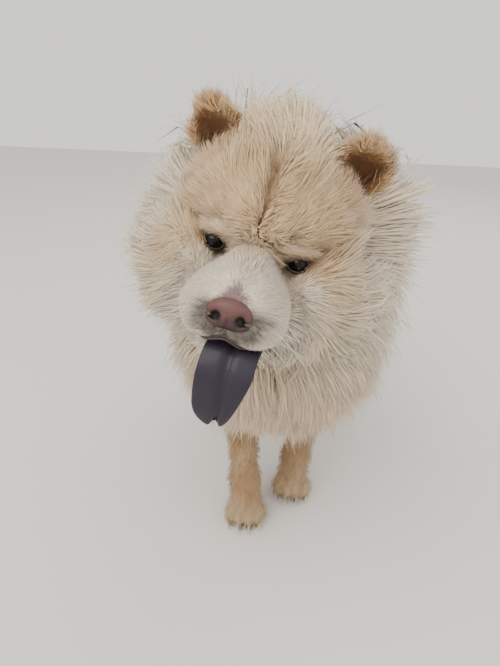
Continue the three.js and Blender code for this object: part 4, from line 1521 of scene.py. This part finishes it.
def unit_ball(rings: int, sides: int) -> tuple[np.ndarray, np.ndarray]:
    """A closed ball of radius 1, its poles ahead and behind: (sin f cos a, -cos f, sin f sin a).

    Args:
        rings: Rings from pole to pole.
        sides: Points in a ring.

    Returns:
        Points, and triangles that index them.
    """
    fan = np.linspace(0, np.pi, rings + 2)[1:-1, None]
    a = np.arange(sides)[None, :] * 2 * np.pi / sides
    points = np.stack([np.sin(fan) * np.cos(a), -np.cos(fan) + 0 * a, np.sin(fan) * np.sin(a)], -1)
    points = np.concatenate([points.reshape(-1, 3), [[0, -1, 0], [0, 1, 0]]])
    return points, capped(rings, sides, flip=True)


@dataclass
class Eyes:
    """Two small, dark, deep-set eyes and the dark rims of their lids."""

    finishes: Finishes
    rim: float = 1.7
    half_width: float = 10.6
    seat: float = 12.2
    tip_down: float = 1.2

    def build(self) -> None:
        """Makes each eye and its lids."""
        for side, name in ((-1, "right"), (1, "left")):
            points, triangles = unit_ball(24, 32)
            points = on_head(points * EYE_RADIUS + np.array([side * HALF_EYES, EYE_DEPTH, 0.0]))
            eye = put_mesh(f"eyeball_{name}", points, triangles, self.finishes.eye)
            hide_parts(f"eye_{name}")
            report(eye)
            lids = put_mesh(f"lids_{name}", *self.lids(side), self.finishes.lid)
            report(lids)

    def lids(self, side: int) -> tuple[np.ndarray, np.ndarray]:
        """The rim round one eye.

        An oval, x = w cos a and z = 8 sin a above, 7 sin a below, tipped down towards the nose and lying on
        a ball round the eye. Its section is round, of radius rim, and fuller above.

        Args:
            side: -1 for the dog's right, 1 for its left.

        Returns:
            Points, and triangles that index them.
        """
        rings, sides = 40, 10
        a = np.arange(rings) * 2 * np.pi / rings
        x = self.half_width * np.cos(a)
        z = np.where(np.sin(a) > 0, 8.0, 7.0) * np.sin(a) + self.tip_down * np.cos(a) * side
        y = EYE_DEPTH - np.sqrt(np.maximum(self.seat**2 - x**2 - z**2, 1.0))
        middle = np.stack([x, y, z], axis=1)
        out = unit(middle - np.array([0.0, EYE_DEPTH, 0.0]))
        along = unit(np.roll(middle, -1, axis=0) - np.roll(middle, 1, axis=0))
        ring = hoops(middle, out * 0.8, np.cross(along, out), self.rim * (1 + 0.25 * np.sin(a)), sides)
        points = ring.reshape(-1, 3) + np.array([side * HALF_EYES, 0.0, 0.0])
        grid = np.arange(rings * sides).reshape(rings, sides)
        return on_head(points), close_grid(np.concatenate([grid, grid[:1]]))


@dataclass
class Nose:
    """The nose leather: a broad pad, rounded on top, with comma nostrils and a groove below."""

    finishes: Finishes
    # Y and Z of its middle in the head's frame
    centre: tuple[float, float] = (-80.5, -38.5)
    radii: tuple[float, float, float] = (20.5, 13.0, 14.5)
    squareness: float = 0.82

    def build(self) -> None:
        """Makes the pad as a squarish ball with its hollows pressed in.

        Bells press in the nostrils, the slits that run out of them and the groove between them.
        """
        local, triangles = unit_ball(60, 90)
        square = np.abs(local) ** self.squareness * np.sign(local)
        x, y, z = (square * np.array(self.radii)).T
        x = x * (1 + 0.1 * smooth(-10, 8, z))
        z = z - 3.0 * (np.abs(x) / 20) ** 2
        pull = 7.0 * patch_at(np.abs(x), z, (10.8, -2.5), (4.6, 5.0))
        pull += 5.0 * patch_at(np.abs(x), z - 0.3 * (np.abs(x) - 16), (16.5, -4.5), (4.5, 1.9))
        pull += 1.6 * bump_at(x, 0, 1.3) * smooth(6, -4, z)
        y = y + np.where(y < 0, pull, 0.0)
        points = on_head(np.stack([x, y + self.centre[0], z + self.centre[1]], axis=1))
        colour = np.tile(Tone.NOSE.rgb(), (len(x), 1))
        # Painted shade: the pad darkens towards its underside, with a little random tone across it.
        colour = mix(colour, Tone.NOSE_DARK, smooth(6, -9, z) * 0.8 + 0.15 * ripple(points, 9.0, 2))
        # Painted shade: the nostrils' hollows are near black, standing in for their depth.
        colour = mix(colour, Tone.NOSTRIL, smooth(1.2, 4.5, np.where(y < 6, pull, 0.0)) * 0.95)
        pad = put_mesh("nose_pad", points, triangles, self.finishes.nose, colour)
        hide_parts("nose")
        report(pad)


@dataclass
class Mouth:
    """Tongue, lips and whiskers."""

    finishes: Finishes
    width: float = 50.0
    thickness: float = 9.0
    path: tuple = (
        (12, -18, -74), (11, -50, -73), (9, -74, -78), (9, -85, -98), (10, -85, -124), (11, -80, -152)
    )
    lip_line: tuple = ((-54, 10, -60), (-46, -18, -66), (-35, -50, -70), (-18, -74, -70), (0, -79, -64))
    lip_radius: float = 1.3
    whisker_count: int = 26
    whisker_radius: float = 0.32
    whisker_bow: float = 9.0

    def build(self) -> None:
        """Makes the tongue, the lips' edge and the whiskers."""
        tongue = put_mesh("tongue_body", *self.tongue(), self.finishes.tongue)
        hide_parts("tongue")
        report(tongue)
        lips = put_mesh("lip_edge", *self.lips(), self.finishes.lip)
        report(lips)
        whiskers = put_mesh("whiskers", *self.whiskers(), self.finishes.whisker)
        report(whiskers)

    def tongue(self) -> tuple[np.ndarray, np.ndarray]:
        """A strap carried along its path.

        Its section is x = w cos b, y = h sin b less a furrow exp(-(x / 3.2)²) down the middle of its upper
        side, with edges that curl up by x² and waver. Its end is rounded, notched and narrower on one side.

        Returns:
            Points, and triangles that index them.
        """
        rings, sides = 70, 48
        line = on_head(curve_through(self.path, rings))
        t = np.linspace(0, 1, rings)
        tangent = unit(np.gradient(line, axis=0))
        wide = HEAD_TURN[:, 0]
        aside = unit(wide - tangent * (tangent @ wide)[:, None])
        over = np.cross(tangent, aside)
        end = np.sqrt(np.clip(1 - np.clip((t - 0.8) / 0.2, 0, 1) ** 2.4, 0.0, 1.0))
        half = (self.width / 2 * (0.9 + 0.14 * np.sin(np.pi * t)) * np.maximum(end, 0.04))[:, None]
        b = np.arange(sides)[None, :] * 2 * np.pi / sides
        x = half * np.cos(b) * (1 + 0.02 * np.sin(9 * t + 1)[:, None])
        x = np.where(x > 0, x * (1 - 0.42 * smooth(0.5, 0.98, t))[:, None], x)
        edge = (x / (self.width / 2)) ** 2
        top = np.maximum(np.sin(b), 0.0)
        furrow = 4.2 * top * bump_at(x, 0, 3.2) * smooth(0.15, 0.3, t)[:, None]
        notch = 9.0 * bump_at(x, 0, 3.6) * smooth(0.86, 1.0, t)[:, None]
        curl = 2.2 * edge + 0.8 * np.sin(14 * t)[:, None] * edge
        height = (self.thickness / 2 * np.sqrt(np.maximum(end, 0.05)))[:, None]
        y = height * np.sin(b) * (1 - 0.25 * np.cos(b) ** 2) - furrow + curl
        points = line[:, None] + aside[:, None] * x[..., None] + over[:, None] * y[..., None]
        points = points - tangent[:, None] * notch[..., None]
        points = np.concatenate([points.reshape(-1, 3), line[:1], line[-1:] - tangent[-1:] * 8.0])
        return points, capped(rings, sides)

    def lips(self) -> tuple[np.ndarray, np.ndarray]:
        """The dark edge of the upper lips.

        A cord along the mouth's line on both sides, which dips under each side of the muzzle and rises to
        the corner. Its radius is r √(sin πt).

        Returns:
            Points, and triangles that index them.
        """
        rings, sides = 90, 10
        line = curve_through([*self.lip_line, *((-x, y, z) for x, y, z in self.lip_line[-2::-1])], rings)
        tangent = unit(np.gradient(line, axis=0))
        aside = unit(np.cross(tangent, UP))
        radius = self.lip_radius * np.sqrt(np.sin(np.pi * np.linspace(0.02, 0.98, rings)))
        ring = hoops(line, aside, np.cross(tangent, aside), radius, sides)
        return on_head(np.concatenate([ring.reshape(-1, 3), line[:1], line[-1:]])), capped(rings, sides)

    def whiskers(self) -> tuple[np.ndarray, np.ndarray]:
        """Stiff pale hairs from both sides of the muzzle: thin three-sided cones that bow out and down by t².

        Returns:
            Points, and triangles that index them.
        """
        random = np.random.default_rng(5)
        count, rings, sides = self.whisker_count, 7, 3
        side = np.where(np.arange(count) % 2, 1.0, -1.0)
        root = [side * random.uniform(28, 44, count), random.uniform(-74, -44, count)]
        root = np.stack([*root, random.uniform(-62, -40, count)], 1)
        way = [side * random.uniform(0.7, 1.2, count), random.uniform(-0.5, 0.3, count)]
        way = unit(np.stack([*way, random.uniform(-0.5, 0.15, count)], 1))
        long = random.uniform(28, 50, count)[:, None, None]
        t = np.linspace(0, 1, rings)[None, :]
        line = root[:, None] + way[:, None] * long * t[..., None] - self.whisker_bow * UP * t[..., None] ** 2
        aside = unit(np.cross(way, UP))
        over = np.cross(way, aside)
        ring = hoops(line, aside[:, None], over[:, None], self.whisker_radius * (1 - 0.85 * t), sides)
        points = np.concatenate([ring.reshape(count, rings * sides, 3), line[:, :1], line[:, -1:]], axis=1)
        steps = (np.arange(count) * (rings * sides + 2))[:, None, None]
        triangles = (capped(rings, sides)[None] + steps).reshape(-1, 3)
        return on_head(points.reshape(-1, 3)), triangles


@dataclass
class Claws:
    """Short blunt claws, pale and horn-coloured, one at the end of each toe."""

    finishes: Finishes
    length: float = 15.0
    radius: float = 3.0
    hook: float = 5.5
    height: float = 11.5

    def build(self) -> None:
        """Makes all sixteen as one piece."""
        paws = [(at, FORE_PAW_HALF) for at in FORE_PAWS.values()]
        paws += [(at, HIND_PAW_HALF) for at in HIND_PAWS.values()]
        claws = [self.claw(at, toe, half) for at, half in paws for toe in TOES]
        piece = put_mesh("claws", *join(claws), self.finishes.claw)
        report(piece)

    def claw(self, at: tuple[float, float], toe: float, half: float) -> tuple[np.ndarray, np.ndarray]:
        """One claw: a cone of radius r (1 - t)^0.6 that curves down by hook t^1.6.

        Args:
            at: The paw's middle, X and Y.
            toe: How far the toe lies to the side, as a share of the paw's half size.
            half: The paw's half size.

        Returns:
            Points, and triangles that index them.
        """
        rings, sides = 8, 8
        t = np.linspace(0, 0.96, rings)[:, None]
        b = np.arange(sides)[None, :] * 2 * np.pi / sides
        radius = self.radius * (1 - t) ** 0.6
        y = -self.length * t + 0 * b
        x = radius * 0.8 * np.cos(b)
        z = radius * np.sin(b) - self.hook * t**1.6
        ends = [[0, 0.5, 0], [0, -self.length, -self.hook - 0.1]]
        local = np.concatenate([np.stack([x, y, z], -1).reshape(-1, 3), ends])
        local = local @ rotation("Z", -toe * 18).T
        centre = np.array([at[0] + toe * half * 1.2, at[1] - 36 + 16 * abs(toe), self.height])
        return local + centre, capped(rings, sides)


@dataclass
class Studio:
    """The pale floor, the soft lights and the camera at the photo's angle."""

    finishes: Finishes
    camera_height: float = 660.0
    look_down: float = 26.84
    bank: float = -1.76
    focal_px: float = 512.1
    photo_height_px: float = 666.0
    sensor_mm: float = 36.0
    floor_half: float = 4000.0
    body_yaw: float = -5.0
    stand: tuple[float, float] = (41.5, 659.0)

    def build(self) -> None:
        """Makes the stage, the lights and the camera."""
        edge = self.floor_half * MM
        mesh = bpy.data.meshes.new("floor")
        corners = [(-edge, -edge, 0.0), (edge, -edge, 0.0), (edge, edge, 0.0), (-edge, edge, 0.0)]
        mesh.from_pydata(corners, [], [(0, 1, 2, 3)])
        mesh.materials.append(self.finishes.floor)
        floor = bpy.data.objects.new("floor", mesh)
        bpy.context.collection.objects.link(floor)
        world = bpy.data.worlds.new("studio")
        world.use_nodes = True
        background = world.node_tree.nodes["Background"]
        background.inputs["Color"].default_value = (0.97, 0.95, 0.92, 1.0)
        background.inputs["Strength"].default_value = 1.2
        bpy.context.scene.world = world
        self.light("key", (-0.9, -1.4, 2.3), 2.2, 62.0, (1.0, 0.97, 0.92))
        self.light("fill", (1.8, -0.9, 1.2), 2.4, 11.0, (0.95, 0.97, 1.0))
        self.light("rim", (0.9, 1.8, 2.0), 1.8, 20.0, (1.0, 0.98, 0.95))
        self.camera()

    def light(self, name: str, place: tuple, size: float, power: float, colour: tuple) -> None:
        """A square soft light that faces the dog's chest.

        Args:
            name: Its name.
            place: Where it hangs, in metres.
            size: Its side, in metres.
            power: Its power, in watts.
            colour: Its linear colour.
        """
        data = bpy.data.lights.new(name, "AREA")
        data.size = size
        data.energy = power
        data.color = colour
        lamp = bpy.data.objects.new(name, data)
        target = to_frame(np.array([0.0, -60.0, 360.0]))
        back = unit(np.array(place) - target)
        right = unit(np.cross(UP, back))
        turn = np.stack([right, np.cross(back, right), back], axis=1)
        lamp.matrix_world = Matrix(np.vstack([np.column_stack([turn, place]), [0, 0, 0, 1]]).tolist())
        bpy.context.collection.objects.link(lamp)

    def camera(self) -> None:
        """Places the camera where the photo was taken from, worked out from the floor's tiles."""
        down, bank = math.radians(self.look_down), math.radians(self.bank)
        ahead = np.array([0.0, math.cos(down), -math.sin(down)])
        right = np.array([1.0, 0.0, 0.0])
        below = np.array([0.0, -math.sin(down), -math.cos(down)])
        right, below = (
            math.cos(bank) * right + math.sin(bank) * below,
            -math.sin(bank) * right + math.cos(bank) * below,
        )
        yaw = rotation("Z", -self.body_yaw)
        place = yaw @ (np.array([0.0, 0.0, self.camera_height]) - np.array([*self.stand, 0.0]))
        turn = np.stack([yaw @ right, -(yaw @ below), -(yaw @ ahead)], axis=1)
        data = bpy.data.cameras.new("camera")
        data.sensor_fit = "VERTICAL"
        data.sensor_height = self.sensor_mm
        data.lens = self.focal_px / self.photo_height_px * self.sensor_mm
        camera = bpy.data.objects.new("camera", data)
        matrix = np.vstack([np.column_stack([turn, to_frame(place)]), [0, 0, 0, 1]])
        camera.matrix_world = Matrix(matrix.tolist())
        bpy.context.collection.objects.link(camera)
        bpy.context.scene.camera = camera


def main() -> None:
    """Builds the animal and its stage."""
    logging.basicConfig(level=logging.INFO, format="%(message)s")
    finishes = Finishes()
    Studio(finishes).build()
    skin = Skin(finishes).build()
    Coat(finishes, skin).build()
    Eyes(finishes).build()
    Nose(finishes).build()
    Mouth(finishes).build()
    Claws(finishes).build()


if __name__ == "__main__":
    main()
